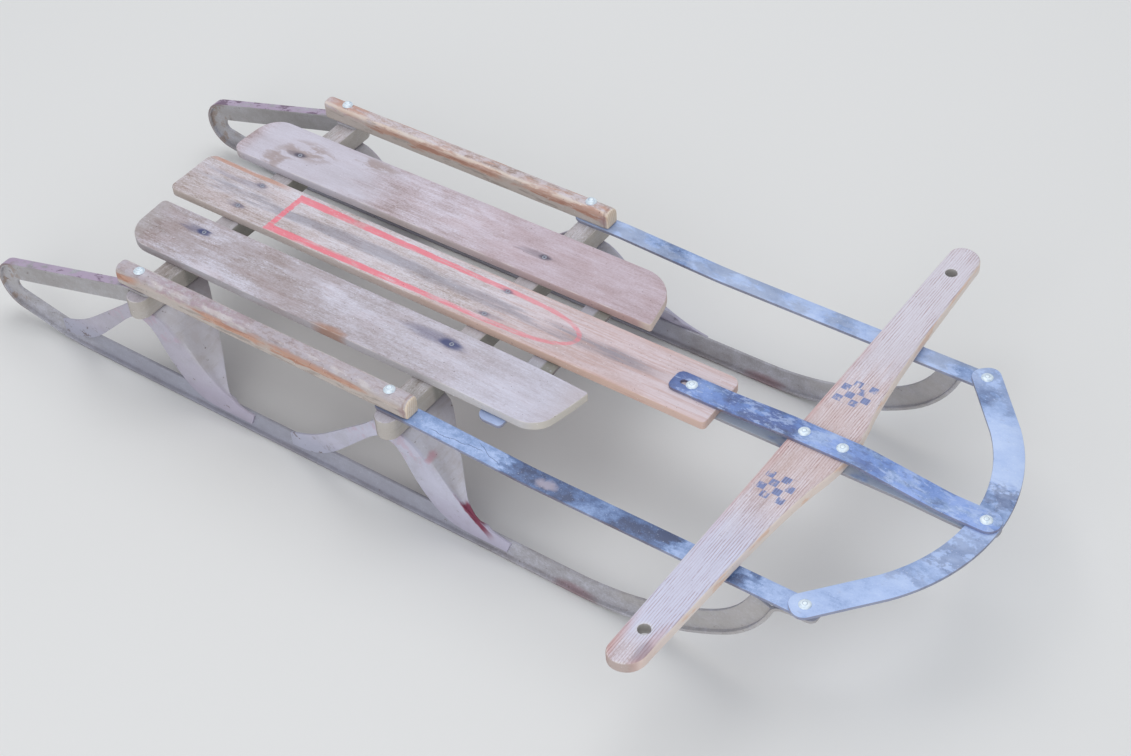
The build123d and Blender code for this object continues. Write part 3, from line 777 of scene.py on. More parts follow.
slat_left = board("slat_left_wood", side_slat_rear_x, side_slat_front_x, slat_inner_y, slat_outer_y,
                  (0, 3, 0, -12), (12, 22, 3, 30))
slat_right = board("slat_right_wood", side_slat_rear_x, side_slat_front_x, -slat_inner_y, -slat_outer_y,
                   (0, 3, 0, -10), (5, 28, 2.5, 19))
slat_centre = board("slat_centre_wood", centre_slat_rear_x, centre_slat_front_x, -slat_width / 2,
                    slat_width / 2, (0, 0, 0, -1), (7, 10, 4, 9))
slat_sag, sag_reach = 4.5, 115
alone(slat_right)
turn_to(mode="EDIT")
pick("VERT", lambda at: at[0].x > side_slat_front_x - 4)
shift(z=-slat_sag, use_proportional_edit=True, proportional_edit_falloff="SHARP",
      proportional_size=sag_reach * mm)
turn_to(mode="OBJECT")

near_rivet_y, far_rivet_y, centre_rivet_y = -61, 69, 16.5


def rivet_stain(cloud, x, y, rivet_x, rivet_y, ahead, behind, wide, seed):
    """Blue-black iron stain that has crept along the grain from a rivet."""
    ragged = cloud((30, 4, 6), seed, 5, 0.62) - 0.5
    trail = (x - rivet_x + (behind - ahead) / 2 + 40 * ragged) / ((ahead + behind) / 2)
    off = (y - rivet_y + 6 * ragged) / wide
    core = spot(x + 8 * ragged, y + 5 * ragged, (rivet_x, rivet_y), (wide * 1.6, wide * 0.8))
    return soft(trail * trail + off * off, 1.0, 0.0) * 0.5 + core * 0.6


def near_slat_marks(lay, cloud, x, y, z, side):
    """Iron stains at both rivets, a bared spot on the outer edge, a paler front."""
    ragged = cloud((16, 8, 8), 61, 5, 0.6) - 0.5
    brown = soft(cloud((70, 22, 20), 67, 4, 0.6), 0.42, 0.56)
    lay(brown * stretch(x + 60 * ragged, -330, -120, 30) * 0.5, 166, 151, 152)
    lay(soft(x + 50 * ragged, -170, -60) * 0.3, 206, 203, 217)
    lay(soft(x + 30 * ragged, -315, -335) * 0.5, 178, 172, 172)
    lay(rivet_stain(cloud, x, y, rear_bench_x, near_rivet_y, 12, 30, 6, 71), 76, 82, 122)
    lay(rivet_stain(cloud, x, y, front_bench_x, near_rivet_y, 26, 62, 9, 73), 76, 82, 122)
    lay(spot(x + 10 * ragged, y + 6 * ragged, (-94, -102), (22, 7)) * 0.8, 172, 130, 108)
    lay(side * soft(x + 40 * ragged, -110, 60) * 0.7, 206, 204, 204)
    lay(side * soft(x, 104, 122) * 0.6, 214, 206, 190)
    lay(soft(x + 50 * ragged, -20, 110) * (1 - side) * 0.4, 208, 208, 226)
    lay(soft(x + y * 0.16 + 8 * ragged, 92, 122) * (1 - side) * 0.35, 186, 172, 170)


def far_slat_marks(lay, cloud, x, y, z, side):
    """Bleached behind with cloudy brown stains, mauve in front, a cleaner front end."""
    ragged = cloud((40, 14, 12), 81, 5, 0.6) - 0.5
    lay(soft(x + 90 * ragged, -120, 0) * 0.45, 198, 176, 186)
    lay(soft(x + 110 * ragged, -150, -220) * soft(x, -340, -318) * 0.7, 207, 205, 219)
    for centre, reach in (((-270, 78), (34, 16)), ((-205, 94), (34, 9)), ((-292, 56), (16, 22))):
        cloudy = spot(x + 60 * ragged, y + 26 * ragged, centre, reach)
        lay(cloudy * soft(ragged, -0.1, 0.0) * 0.7, 158, 138, 132)
    lay(rivet_stain(cloud, x, y, rear_bench_x, far_rivet_y, 10, 18, 5, 83) * 0.9, 92, 88, 104)
    lay(rivet_stain(cloud, x, y, front_bench_x, far_rivet_y, 12, 34, 5, 87) * 0.9, 92, 88, 104)
    lay(side * soft(x + 60 * ragged, -60, 110) * 0.5, 196, 156, 148)
    lay(side * soft(x, 116, 128) * 0.7, 222, 210, 198)


def centre_slat_marks(lay, cloud, x, y, z, side):
    """A long dark streak down the middle, warm front end, orange far edge, worn red lines."""
    ragged = cloud((46, 5, 8), 91, 5, 0.62) - 0.5
    streak = soft(abs(y + 1 + 13 * ragged), 9.5, 3.0) * soft(cloud((70, 8, 9), 95, 4), 0.32, 0.5)
    lines = soft(cloud((64, 2.4, 5), 109, 4, 0.62), 0.5, 0.62) * soft(x + 90 * ragged, -60, 60)
    lay(soft(x + 90 * ragged, -60, 120) * 0.6, 217, 193, 196)
    lay(soft(x + 60 * ragged, 160, 205) * 0.5, 220, 210, 218)
    lay(streak * stretch(x, -330, 158, 34) * 0.55, 130, 130, 146)
    lay(soft(abs(y + 2 + 10 * ragged), 7, 3) * stretch(x + 30 * ragged, 66, 168, 22) * 0.4, 132, 126, 136)
    lay(soft(abs(y - 12 + 12 * ragged), 5, 2) * stretch(x + 60 * ragged, -335, -270, 20) * 0.45,
        140, 140, 160)
    lay(soft(abs(y - 26 + 8 * ragged), 3, 1.2) * stretch(x, -345, -255, 14) * 0.75, 196, 146, 124)
    lay(soft(abs(y) + 8 * ragged, 23, 30) * soft(x, -160, 0) * 0.4, 212, 172, 156)
    lay(side * soft(x + 50 * ragged, -120, 80) * 0.6, 214, 182, 162)
    lay(lines * 0.4, 190, 152, 140)
    fray = (cloud((14, 2, 6), 93, 4, 0.66) - 0.5) * 3

    def within(rear_x, front_x, half_width):
        """1 inside a line that is square behind and round in front."""
        run = x.maths("MAXIMUM", x + 10, 0.0) / (front_x + 10)
        room = x.maths("MAXIMUM", 1 - run * run * run * run, 0.0).root()
        return soft(abs(y + 1.9) + fray - room * half_width, 0.5, -0.5) * soft(x + fray, rear_x, rear_x + 1)

    border = within(-235, 93, 22.8 - x * 0.018) - within(-229, 88.5, 17.8 - x * 0.004)
    thin = soft(cloud((30, 4, 6), 97, 5, 0.6), 0.36, 0.5) * 0.5 + 0.5
    faded = thin * (0.86 - 0.3 * soft(x, -120, 80)) * (1 - side) * soft(z, deck_top_z - 3, deck_top_z - 1)
    lay(border * faded, 240, 124, 140)
    for rivet_x, way, ahead, behind, wide, seed in (
            (rear_bench_x, 1, 9, 14, 5, 101), (rear_bench_x, -1, 9, 16, 5, 103),
            (front_bench_x, 1, 10, 14, 4, 105), (front_bench_x, -1, 20, 14, 4, 107)):
        stain = rivet_stain(cloud, x, y, rivet_x, way * centre_rivet_y, ahead, behind, wide, seed)
        lay(stain * 0.7, 108, 104, 126)


grey_tones = (156, 143, 142), (184, 176, 182), (203, 199, 211), (219, 217, 231)
mauve_tones = (162, 145, 146), (190, 176, 183), (205, 195, 206), (220, 213, 227)
warm_tones = (168, 152, 146), (196, 186, 188), (211, 204, 211), (224, 221, 231)
for slat, node, seed, tones, marks, sides in (
        (slat_left, "deck_slat_left", 11.3, mauve_tones, far_slat_marks, (194, 182, 178)),
        (slat_right, "deck_slat_right", 5.9, grey_tones, near_slat_marks, (184, 183, 187)),
        (slat_centre, "deck_slat_centre", 17.1, warm_tones, centre_slat_marks, (198, 184, 174))):
    alone(slat)
    wear(slat, 0.3, 16, (5, 1, 1), seed)
    smooth()
    coat(slat, 0.3, *wood(f"{node}_wood", tones, seed, False, marks, sides))
    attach(slat, "frame")
    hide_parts(node)


# Slat rivets.  Small hollow rivets, spread to a ring on top, hold each slat to both
# benches: one in each side slat, two side by side in the centre one.
bore_z = deck_top_z - 1.4
first_rivet = begin("circle", "slat_rivet_front_1", (front_bench_x, centre_rivet_y, bore_z),
                    vertices=20, radius=0.9 * mm)
mesh.select_mode(type="EDGE")
for rise, ratio in ((1.3, 1.0), (0.5, 1.25), (0.15, 1.35), (-0.15, 1.3), (-0.5, 1.12), (-0.7, 1.0)):
    draw_out(z=rise)
    swell(ratio, front_bench_x, centre_rivet_y)
mesh.edge_face_add()
pick("EDGE", lambda at: all(p.z < bore_z + 0.05 for p in at))
mesh.edge_face_add()
close_up()
smooth(50)


def zinc(name, x, y, ring, seed, dulled=0.0):
    """Zinc plate gone bluish white, with a dark line at the ring radius given."""
    material, cloud, (along, across, up) = recipe(name)
    along, across = along - x, across - y
    radius = (along * along + across * across).root()
    dull = cloud((2.6, 2.6, 2.6), seed, 4, 0.6)
    lay = Coats(ramp(dull, (0.35, 200, 216, 232), (0.46, 222, 236, 247), (0.6, 238, 248, 255)))
    lay(soft(abs(radius - ring), 0.5, 0.1) * 0.45, 128, 140, 162)
    lay(dulled, 116, 112, 132)
    material.node_tree.nodes["Principled BSDF"].inputs["Metallic"].default_value = 0.3
    return material, lay.colour, 0.4 + dull * 0.2, dull


number = 0
for place, x in (("front", front_bench_x), ("rear", rear_bench_x)):
    for count, y in enumerate((centre_rivet_y, -centre_rivet_y, far_rivet_y, near_rivet_y)):
        rivet = first_rivet
        if number:
            name = f"slat_rivet_{place}_{count + 1}"
            rivet = copy(first_rivet, name, x - front_bench_x, y - centre_rivet_y)
        coat(rivet, 0.1, *zinc(f"{rivet.name}_zinc", x, y, 1.0, number + 0.5, 0.68))
        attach(rivet, "frame")
        number += 1


# Side straps.  Flat steel bars that turn on the front rail bolts, fall a little ahead of
# the rail and run out to the bumper; the runner's nose is riveted under each.
side_strap_width, side_strap_rear_x, side_strap_front_x, bumper_end_x = 18, -11, 400, 391


def flat_bar(name, rear_x, front_x, y, width, bends, rear_round, front_round, bend_round, stations):
    """A flat steel bar, straight between its bends; each bend is a place along it and a height."""
    piece = begin("plane", name, ((rear_x + front_x) / 2, y, bends[0][1]), (front_x - rear_x, width, 1))
    cut("x", *(bend_x for bend_x, level in bends))
    for (bend_x, level), (next_x, next_level) in zip(bends, bends[1:]):
        pick("VERT", lambda at: at[0].x > next_x - 1)
        shift(z=next_level - level)
    for end_x, (corner, steps) in ((rear_x, rear_round), (front_x, front_round)):
        pick("VERT", lambda at: abs(at[0].x - end_x) < 1)
        ease(corner, steps, "VERTICES")
    pick("EDGE", lambda at: any(all(abs(p.x - bend_x) < 0.1 for p in at) for bend_x, level in bends))
    ease(bend_round, 4)
    cut("x", *(x for x in stations if all(abs(x - bend_x) > 8 for bend_x, level in bends)))
    cut("y", y)
    close_up()
    tool(piece, "SOLIDIFY", thickness=flat_steel * mm, offset=-1)
    return piece


side_strap_round = (side_strap_width / 2 - 0.4, 8)
side_strap_left = flat_bar("side_strap_left_steel", side_strap_rear_x, side_strap_front_x, side_y,
                           side_strap_width, ((36, 112), (140, 107)), side_strap_round, side_strap_round,
                           7, range(0, 390, 10))
soften(side_strap_left)
side_strap_right = copy(side_strap_left, "side_strap_right_steel", mirrored=True)


def near_strap_marks(lay, cloud, x, y):
    """A few long cracks in the pale skin behind, and one patch rubbed to a pinkish tan."""
    ragged = cloud((8, 6, 6), 113, 4) - 0.5
    wander = (cloud((24, 400, 400), 115, 4, 0.6) - 0.5) * 14
    crack = soft(abs(y + 143.5 - (x - 60) * 0.1 + wander), 0.55, 0.15) * stretch(x, 48, 96, 3)
    second = soft(abs(y + 138 + (x - 100) * 0.35 + wander), 0.5, 0.15) * stretch(x, 90, 116, 3)
    lay((crack + second) * 0.75, 82, 98, 140)
    lay(spot(x + 10 * ragged, y + 10 * ragged, (160, -141), (13, 6)) * 0.75, 176, 166, 180)
    lay(soft(x, 27, 20) * 0.8, 96, 98, 116)


def far_strap_marks(lay, cloud, x, y):
    """Greyer where the skin has gone chalky behind."""
    lay(soft(cloud((30, 14, 14), 117, 4, 0.6), 0.4, 0.56) * 0.55, 146, 156, 178)


# A run that reaches the end of a bar goes on to a place beyond it.
end = 999
# far_runs: the dip from 245 to 290 is painted shadow of the steering bar.
far_runs = (80, 108, 9, -0.12), (366, 384, 5, -0.09), (245, 290, 20, -0.04)
near_runs = (-end, 118, 6, 0.14), (184, 226, 5, 0.06), (275, end, 7, 0.17), (334, 346, 4, -0.12)
for side_strap, side, seed, pale, runs, marks in (
        (side_strap_left, "left", 10.5, 0.2, far_runs, far_strap_marks),
        (side_strap_right, "right", 11.5, -0.02, near_runs, near_strap_marks)):
    coat(side_strap, 0.25, *steel(f"side_strap_{side}_blued", seed, pale, runs, marks))
    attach(side_strap, f"arm_{side}")
    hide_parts(f"side_strap_{side}")


# Side rails.  Hardwood sticks, well rounded along the outer top edge, blunt behind and
# sawn off in front with the edge trimmed, lying on the runner's lug and the side strap.
rail_rear_x, rail_front_x, rail_width, rail_low_z, rail_top_z = -300, 27, 15, 112, 130
trim_x = rail_front_x - 6
rail_left = begin("cube", "side_rail_left_wood",
                  ((rail_rear_x + trim_x) / 2, side_y, (rail_low_z + rail_top_z) / 2),
                  (trim_x - rail_rear_x, rail_width, rail_top_z - rail_low_z))


def long_edge(at, top, way):
    """A lengthwise edge along the top or the bottom, outside (way 1) or inside (way -1)."""
    return (is_level(at) and abs(at[0].x - at[1].x) > 1 and way * (at[0].y - side_y) > 0
            and (at[0].z > rail_top_z - 1 if top else at[0].z < rail_low_z + 1))


outer_round, inner_round, under_round, tail_round = 7.4, 4.2, 1.5, 3.4
pick("EDGE", lambda at: long_edge(at, True, 1))
ease(outer_round, 7)
pick("EDGE", lambda at: long_edge(at, True, -1) and at[0].y < side_y - rail_width / 2 + 0.1)
ease(inner_round, 5)
pick("EDGE", lambda at: long_edge(at, False, 1) or long_edge(at, False, -1))
ease(under_round)
pick("FACE", lambda at: all(p.x > trim_x - 0.1 for p in at))
for run, ratio in ((2.6, 0.985), (2.2, 0.97), (0.8, 0.95), (0.4, 0.92)):
    draw_out(x=run)
    bpy.ops.transform.resize(value=(1, ratio, ratio), center_override=(0, side_y * mm, (rail_low_z + 8) * mm))
pick("EDGE", lambda at: all(p.x < rail_rear_x + 0.1 for p in at))
ease(tail_round, 5)
cut("x", *range(-290, 20, 10))
cut("z", 115, 118, 121, 124)
cut("y", side_y)
close_up()
rail_right = copy(rail_left, "side_rail_right_wood", mirrored=True)


def rail_marks(mauve_start, mauve_end, bared_runs, bare_wood):
    """Chalky grey sides, a scraped mauve top, bands along the shoulder worn to bare wood."""
    def marks(lay, cloud, x, y, z, side):
        ragged = cloud((34, 6, 6), 121, 5, 0.62) - 0.5
        scraped = soft(cloud((9, 5, 6), 123, 5, 0.66), 0.45, 0.56) * soft(z, 124, 128)
        mauve = soft(cloud((6, 3.4, 4), 127, 5, 0.7), 0.47, 0.55)
        mauve = mauve * stretch(x, mauve_start, mauve_end, 24)
        crest = stretch(abs(y), 132.4, 134.4, 0.7) * soft(z, 124.5, 126.5) * soft(ragged, -0.1, -0.03)
        lay(soft(z + 16 * ragged, 124, 119) * 0.65, 188, 180, 174)
        lay(scraped * 0.6, 216, 209, 218)
        lay(mauve * soft(z, 121, 125) * 0.65, 186, 152, 162)
        for start, end, low, high in bared_runs:
            band = stretch(x + 70 * ragged, start, end, 9) * stretch(z + 20 * ragged, low, high, 1.4)
            lay(band * 0.75, *bare_wood)
            lay(band * soft(ragged, -0.02, 0.06) * 0.5, 158, 104, 84)
        lay(soft(ragged, -0.05, -0.13) * stretch(z, 112, 122, 3) * 0.5, 132, 118, 112)
        lay(crest * 0.7, 238, 222, 208)
        lay(soft(y, 0, -1) * soft(z, 122, 128) * 0.42, 152, 148, 162)
        sawn = soft(x, rail_front_x - 1.8, rail_front_x - 0.8)
        rings = soft(((y * y + (z - 96) * (z - 96)).root() * 2.6).sine(), 0, 1)
        lay(sawn * 0.85, 232, 216, 194)
        lay.deepen(sawn * rings * 0.4, 222, 200, 176)
        lay(stretch(x + 4 * ragged, rail_front_x - 4.5, rail_front_x - 2.6, 0.5) * 0.5, 150, 122, 112)
        lay(spot(x, z + 10 * ragged, (rail_front_x - 5, 120), (5, 6)) * 0.5, 160, 128, 134)
    return marks


rail_tones = (160, 142, 136), (190, 173, 170), (208, 194, 195), (222, 214, 219)
near_rail_marks = rail_marks(-262, -150, ((-302, -276, 119, 126), (-205, -130, 118, 126),
                                          (-120, -20, 119.5, 126.5)), (198, 146, 120))
far_rail_marks = rail_marks(-290, -262, ((-296, -255, 126, 131), (-236, -90, 120, 128), (-70, 30, 122, 129)),
                            (194, 150, 130))
for rail, side, seed, marks in ((rail_left, "left", 2.7, far_rail_marks),
                                (rail_right, "right", 9.3, near_rail_marks)):
    alone(rail)
    wear(rail, 0.35, 13, (5, 1, 1), seed)
    smooth(45)
    coat(rail, 0.3, *wood(f"side_rail_{side}_wood", rail_tones, seed, False, marks, (196, 184, 174)))
    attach(rail, "frame")
    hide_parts(f"side_rail_{side}")


# Rail bolts.  Carriage bolts through rail, lug or strap, bench and knee, with a low dome
# on a rim above and the end peened over below; they carry the side straps' turning.
def fastener(name, x, y, low_z, high_z, shank, head, tail, sides=28):
    """A shank with its head and tail drawn out ring by ring; each ring is a rise and a radius."""
    piece = begin("cylinder", name, (x, y, (low_z + high_z) / 2), vertices=sides,
                  radius=shank * mm, depth=(high_z - low_z) * mm)
    for level, rings, way in ((high_z, head, 1), (low_z, tail, -1)):
        pick("FACE", lambda at: len(at) == sides and all(abs(p.z - level) < 0.01 for p in at))
        radius = shank
        for rise, ring in rings:
            draw_out(z=way * rise)
            swell(ring / radius, x, y)
            radius = ring
    close_up()
    smooth(35)
    return piece


bolt_shank = 3
bolt_head = ((0, 5.1), (0.5, 5.1), (0.35, 4.8), (0.85, 4.1), (0.75, 3.2), (0.4, 2.2), (0.15, 1.0))
bolt_tail = ((0, 4.5), (1.0, 4.4), (0.3, 3.6), (0.2, 1.6))
for place, x, y in (("front_left", front_bench_x, side_y), ("front_right", front_bench_x, -side_y),
                    ("rear_left", rear_bench_x, side_y), ("rear_right", rear_bench_x, -side_y)):
    bolt = fastener(f"rail_bolt_{place}", x, y, knee_top_z - 2, rail_top_z, bolt_shank, bolt_head, bolt_tail)
    coat(bolt, 0.1, *zinc(f"rail_bolt_{place}_zinc", x, y, 2.4, x / 40 + y / 90))
    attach(bolt, "frame")
    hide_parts("rail_bolts")


# Steering bar.  One board, straight behind and swelling in front to the middle, held
# between the two steering straps; a hole at each tip takes the end of the cord.
bar_rear_x, bar_thick, bar_half_length, bar_top_z = 296.5, 11, 264, 120
bar_stations = ((0, 51), (15, 50.3), (30, 48), (45, 44.8), (62, 42), (82, 39.6), (102, 37.6), (122, 36),
                (142, 34.5), (168, 33.2), (194, 32), (220, 30.8), (243, 29.6), (264, 29.4))
middle_depth, tip_depth = bar_stations[0][1], bar_stations[-1][1]
steering_bar = begin("plane", "steering_bar_wood", (bar_rear_x + middle_depth / 2, 0, bar_top_z),
                     (middle_depth, 30, 1))
pick("EDGE", lambda at: all(p.y < 0 for p in at))
mesh.delete(type="VERT")
mesh.select_all(action="SELECT")
shift(y=-15)
pick("EDGE")
for (y, depth), (next_y, next_depth) in zip(bar_stations, bar_stations[1:]):
    lead([(bar_rear_x, y, bar_top_z), (bar_rear_x + depth, y, bar_top_z)],
         [(bar_rear_x, next_y, bar_top_z), (bar_rear_x + next_depth, next_y, bar_top_z)])
for tip_x, corner in ((bar_rear_x, 12), (bar_rear_x + tip_depth, 17)):
    pick("VERT", lambda at: near(at[0], (tip_x, bar_half_length, bar_top_z)))
    ease(corner, 9, "VERTICES")
turn_to(mode="OBJECT")
tool(steering_bar, "MIRROR", use_axis=(False, True, False), use_clip=True)
turn_to(mode="EDIT")
mesh.select_all(action="SELECT")
mesh.remove_doubles(threshold=0.00001)
mesh.dissolve_limited(angle_limit=radians(0.5))
pick("FACE")
draw_out(z=-bar_thick)
pick("EDGE", is_level)
ease(2.2, 4)
cut("y", *range(-260, 270, 10))
cut("x", *(bar_rear_x + offset for offset in (7, 13.5, 20, 26, 34, 42)))
close_up()
cord_hole_x, cord_hole_y, cord_hole_radius = 311, 228, 5


def punch_out(piece, punch):
    """Takes the punch's shape out of the piece and takes the punch away."""
    alone(piece)
    tool(piece, "BOOLEAN", object=punch, operation="DIFFERENCE", solver="EXACT")
    alone(punch)
    bpy.ops.object.delete()
    alone(piece)


def hole_edge(at):
    """An edge round the mouth of a cord hole, above or below."""
    return is_level(at) and not bar_top_z - bar_thick + 0.1 < at[0].z < bar_top_z - 0.1 and all(
        abs(hypot(p.x - cord_hole_x, abs(p.y) - cord_hole_y) - cord_hole_radius) < 0.05 for p in at)


for way in (1, -1):
    drill = begin("cylinder", "drill", (cord_hole_x, way * cord_hole_y, bar_top_z), vertices=40,
                  radius=cord_hole_radius * mm, depth=30 * mm)
    turn_to(mode="OBJECT")
    punch_out(steering_bar, drill)
turn_to(mode="EDIT")
pick("EDGE", hole_edge)
ease(0.7)
turn_to(mode="OBJECT")
smooth()
check, check_x, check_y = 7, 303, 46


def bar_marks(lay, cloud, x, y, z, side):
    """Pinker behind and at the tips, cream along the front edge, two faded blocks of blue checks."""
    ragged = cloud((6, 40, 8), 131, 5, 0.62) - 0.5
    top = 1 - side
    front = side * soft(x, 318, 330)
    lay(soft(abs(y) + 60 * ragged, 70, 130) * soft(abs(y), 262, 235) * 0.55, 217, 213, 224)
    lay(soft(abs(y) + 120 * ragged, 110, 30) * 0.4, 216, 190, 182)
    lay(soft(x + 16 * ragged, 305, 297) * soft(abs(y) + 80 * ragged, 170, 110) * 0.5, 206, 168, 168)
    lay(soft(y + 60 * ragged, -70, -140) * soft(y, -250, -225) * top * 0.5, 208, 216, 246)
    lay(soft(y + 60 * ragged, 60, 130) * top * 0.35, 222, 222, 236)
    lay(soft(y + 50 * ragged, -205, -250) * soft(abs(x - 311) + 10 * ragged, 6, 12) * 0.65, 200, 154, 148)
    lay(front * 0.85, 244, 230, 220)
    lay(front * soft(ragged, 0.03, 0.1) * 0.5, 232, 184, 148)
    lay(spot(x + 10 * ragged, y + 20 * ragged, (322, -246), (6, 14)) * top * 0.45, 130, 132, 154)
    lay(side * soft(abs(y), 252, 262) * 0.6, 150, 128, 124)
    worn = soft(cloud((7, 12, 6), 133, 5, 0.7), 0.38, 0.5)
    across, along = x - check_x, abs(y) - check_y
    checks = (across * (pi / check)).sine() * (along * (pi / check)).sine()
    patch = stretch(across + ragged, 0, 4 * check, 0.4) * stretch(along + ragged, 0, 4 * check, 0.4)
    upper = soft(z, bar_top_z - 3, bar_top_z - 1) * top
    lay(soft(checks, -0.04, 0.06) * patch * worn * upper * 0.8, 102, 130, 188)
    bore_x, bore_y = x - cord_hole_x, abs(y) - cord_hole_y
    bore = (bore_x * bore_x + bore_y * bore_y).root()
    lay(soft(bore, 8, 5.5) * top * 0.45, 224, 226, 232)
    lay(soft(bore, 5.4, 4.9) * side * 0.8, 148, 148, 142)


bar_tones = (188, 171, 174), (209, 199, 207), (221, 215, 226), (232, 229, 240)
coat(steering_bar, 0.32,
     *wood("steering_bar_wood", bar_tones, 14.2, True, bar_marks, (228, 213, 200), rib=2.86))
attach(steering_bar, "steering_lever")
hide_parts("steering_bar")


# Steering straps.  Two flat steel bars, one over and one under slat and bar, bent to lie
# on both and on and under the bumper; the upper one has a slot behind the pivot.
strap_width, strap_rear_x, strap_tip_x, pivot_x, bumper_centre_x = 22, 184, 475, 202, 463
slot_length, slot_radius = 8, 2.6


def top_strap_marks(lay, cloud, x, y):
    """Bluer than the rest, dark behind and before the bar, with small scars and pale flecks; blue and pale
    carry painted sky reflection.
    """
    ragged = cloud((16, 7, 8), 149, 5, 0.62) - 0.5
    dark = (soft(x + 60 * ragged, 216, 192)
            + stretch(x + 90 * ragged, 236, 306, 16) * soft(ragged, -0.08, 0.02)
            + stretch(x + 60 * ragged, 346, 380, 12) * soft(ragged, -0.02, 0.06) * 0.7)
    # Painted sky reflection, partly: the bluer patches here and the pale flecks below.
    lay(soft(cloud((18, 8, 8), 141, 4), 0.36, 0.56) * 0.5, 118, 152, 228)
    lay(dark * 0.62, 78, 92, 146)
    lay(soft(cloud((10, 5, 5), 143, 4, 0.6), 0.54, 0.64) * 0.35, 78, 90, 128)
    lay(soft(cloud((14, 6, 6), 147, 5, 0.66), 0.53, 0.62) * 0.55, 180, 200, 240)


def bottom_strap_marks(lay, cloud, x, y):
    """Greyer and paler: painted light on a strap that lies in shade under the slat and bar."""
    # Painted light: a pale grey coat over a strap that lies in shade.
    lay(soft(cloud((20, 10, 10), 145, 3), 0.2, 0.5) * 0.85, 196, 203, 210)


top_runs = ((-end, 195, 9, -0.1), (222, 302, 10, -0.08), (308, 336, 6, 0.05), (382, 408, 5, 0.07),
            (432, end, 8, 0.07))
for place, top_z, bends, seed, runs, marks in (
        ("top", 123, ((237, 120.5), (291.5, 123), (356, 123), (430, 113)), 24.5, top_runs, top_strap_marks),
        ("bottom", 109, ((400, 109), (440, 107)), 27.5, (), bottom_strap_marks)):
    strap = flat_bar(f"steering_strap_{place}_steel", strap_rear_x, strap_tip_x, 0, strap_width, bends,
                     (6, 3), (strap_width / 2 - 0.5, 9), 6, range(190, 470, 10))
    if place == "top":
        punch = begin("cylinder", "slot_punch", (pivot_x, 0, top_z - 2.5), vertices=24,
                      radius=slot_radius * mm, depth=12 * mm)
        pick("VERT", lambda at: at[0].x < pivot_x - 0.1)
        shift(-slot_length)
        turn_to(mode="OBJECT")
        punch_out(strap, punch)
    soften(strap)
    coat(strap, 0.25, *steel(f"steering_strap_{place}_blued", seed, 0.1, runs, marks, fray=50))
    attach(strap, "steering_lever")
    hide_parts(f"steering_strap_{place}")


# Bumper.  One flat steel bow from side strap to side strap, bent on edge to a wide arc
# and cut off with rounded corners round its end rivets.
bumper_width, bumper_top_z, bow_side_x, bow_side_y = 24, 110, 430, 95
end_overhang, end_round = 11.8, 10
bow_radius = (bow_side_y ** 2 + (bumper_centre_x - bow_side_x) ** 2) / 2 / (bumper_centre_x - bow_side_x)
bow_x = bumper_centre_x - bow_radius
bow_half = asin(bow_side_y / bow_radius)
bumper = begin("plane", "bumper_steel", (bow_x + bow_radius, 5, bumper_top_z), (bumper_width, 10, 1))
pick("EDGE", lambda at: all(p.y > 5 for p in at))
mesh.delete(type="VERT")
pick("EDGE")
mesh.spin(steps=16, angle=bow_half, center=(bow_x * mm, 0, bumper_top_z * mm), axis=(0, 0, -1))
end_run = Vector((bumper_end_x - bow_side_x, side_y - bow_side_y, 0))
end_way = end_run.normalized()
end_turn = atan2(-end_way.x, end_way.y) - bow_half
bpy.ops.transform.rotate(value=-end_turn, orient_axis="Z",
                         center_override=(bow_side_x * mm, bow_side_y * mm, 0))
for step in range(6):
    draw_out(*(end_run / 6))
draw_out(*(end_way * end_overhang))
pick("VERT", lambda at: (at[0] - Vector((bumper_end_x, side_y, bumper_top_z))).dot(end_way) > 11)
ease(end_round, 8, "VERTICES")
turn_to(mode="OBJECT")
tool(bumper, "MIRROR", use_axis=(False, True, False), use_clip=True)
turn_to(mode="EDIT")
close_up()
tool(bumper, "SOLIDIFY", thickness=flat_steel * mm, offset=-1)
soften(bumper)


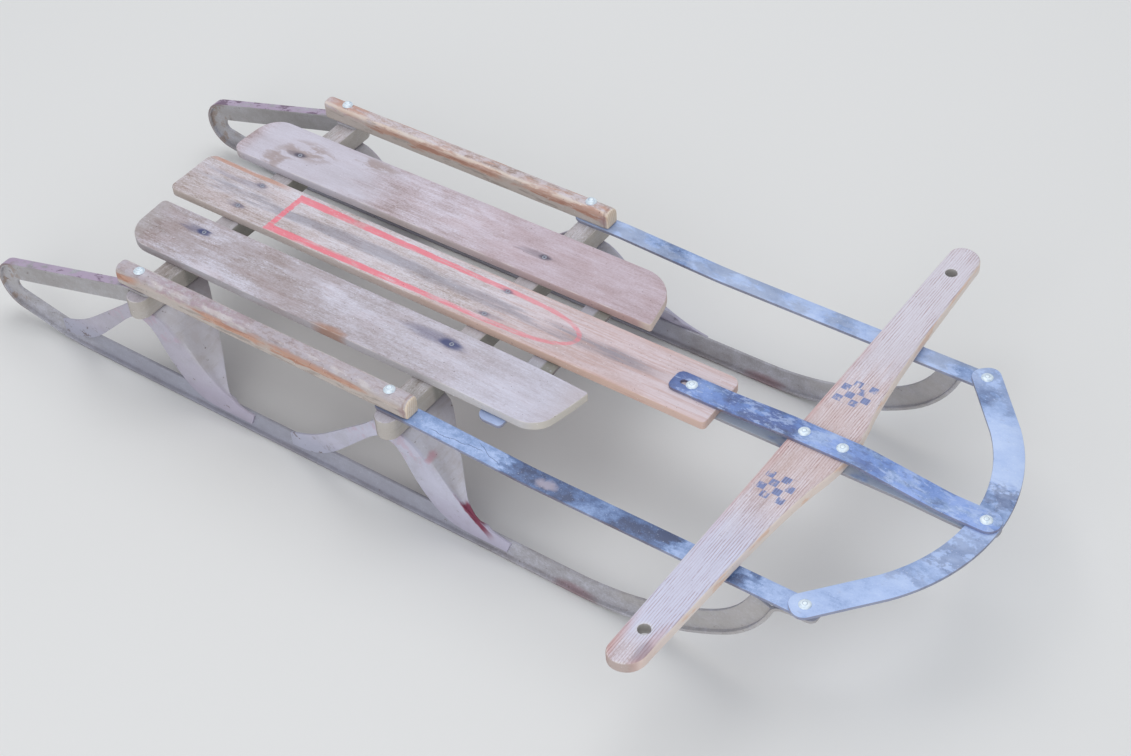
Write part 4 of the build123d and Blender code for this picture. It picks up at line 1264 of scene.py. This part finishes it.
def bumper_marks(lay, cloud, x, y):
    """Slate patches by the centre rivet on both sides and round the far corner."""
    ragged = cloud((12, 9, 8), 151, 5, 0.62) - 0.5
    for low_y, high_y, strength in ((20, 40, 0.65), (-58, -14, 0.45), (-82, -68, 0.3), (116, 156, 0.4)):
        lay(stretch(y + 60 * ragged, low_y, high_y, 4) * soft(ragged, -0.1, 0.0) * strength, 82, 92, 128)
    # Pale periwinkle patches: painted sky reflection on the blued steel.
    lay(soft(cloud((26, 20, 20), 153, 4), 0.36, 0.56) * 0.3, 186, 208, 250)


bow_runs = ((22, 36, 6, -0.15), (4, 22, 6, -0.07), (-82, -62, 8, -0.09), (104, 138, 8, -0.07),
            (40, 100, 8, 0.07))
coat(bumper, 0.25, *steel("bumper_blued", 31.5, 0.2, bow_runs, bumper_marks, fray=50, crosswise=True))
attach(bumper, "bumper_bow")
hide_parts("bumper")


# Rivets.  Bright zinc rivets with a broad low head and a faint ring round the middle hold
# the steering linkage; two more go through the straps and the bar.
rivet_shank, bar_low_z, bar_high_z = 2.5, 106, 123
rivet_head = ((0, 5.0), (0.35, 5.0), (0.4, 4.7), (0.5, 3.9), (0.35, 2.9), (0.15, 2.3), (-0.12, 2.0),
              (0.22, 1.4), (0.1, 0.6))
rivet_tail = ((0, 5.0), (0.6, 4.8), (0.7, 4.0), (0.5, 2.6), (0.2, 1.0))
for name, x, y, low_z, high_z, body, node in (
        ("pivot_rivet", pivot_x, 0, 106, 120.5, "frame", "steering_pivot_rivet"),
        ("bumper_rivet_centre", bumper_centre_x, 0, 104, 113, "bumper_bow", "bumper_centre_rivet"),
        ("bumper_rivet_left", bumper_end_x, side_y, 101, 110, "arm_left", "bumper_end_rivet_left"),
        ("bumper_rivet_right", bumper_end_x, -side_y, 101, 110, "arm_right", "bumper_end_rivet_right"),
        ("bar_rivet_rear", 306, 0, bar_low_z, bar_high_z, "steering_lever", None),
        ("bar_rivet_front", 340, 0, bar_low_z, bar_high_z, "steering_lever", None)):
    rivet = fastener(name, x, y, low_z, high_z, rivet_shank, rivet_head, rivet_tail)
    coat(rivet, 0.1, *zinc(f"{name}_zinc", x, y, 1.9, x / 30 + y / 70))
    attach(rivet, body)
    if node:
        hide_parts(node)
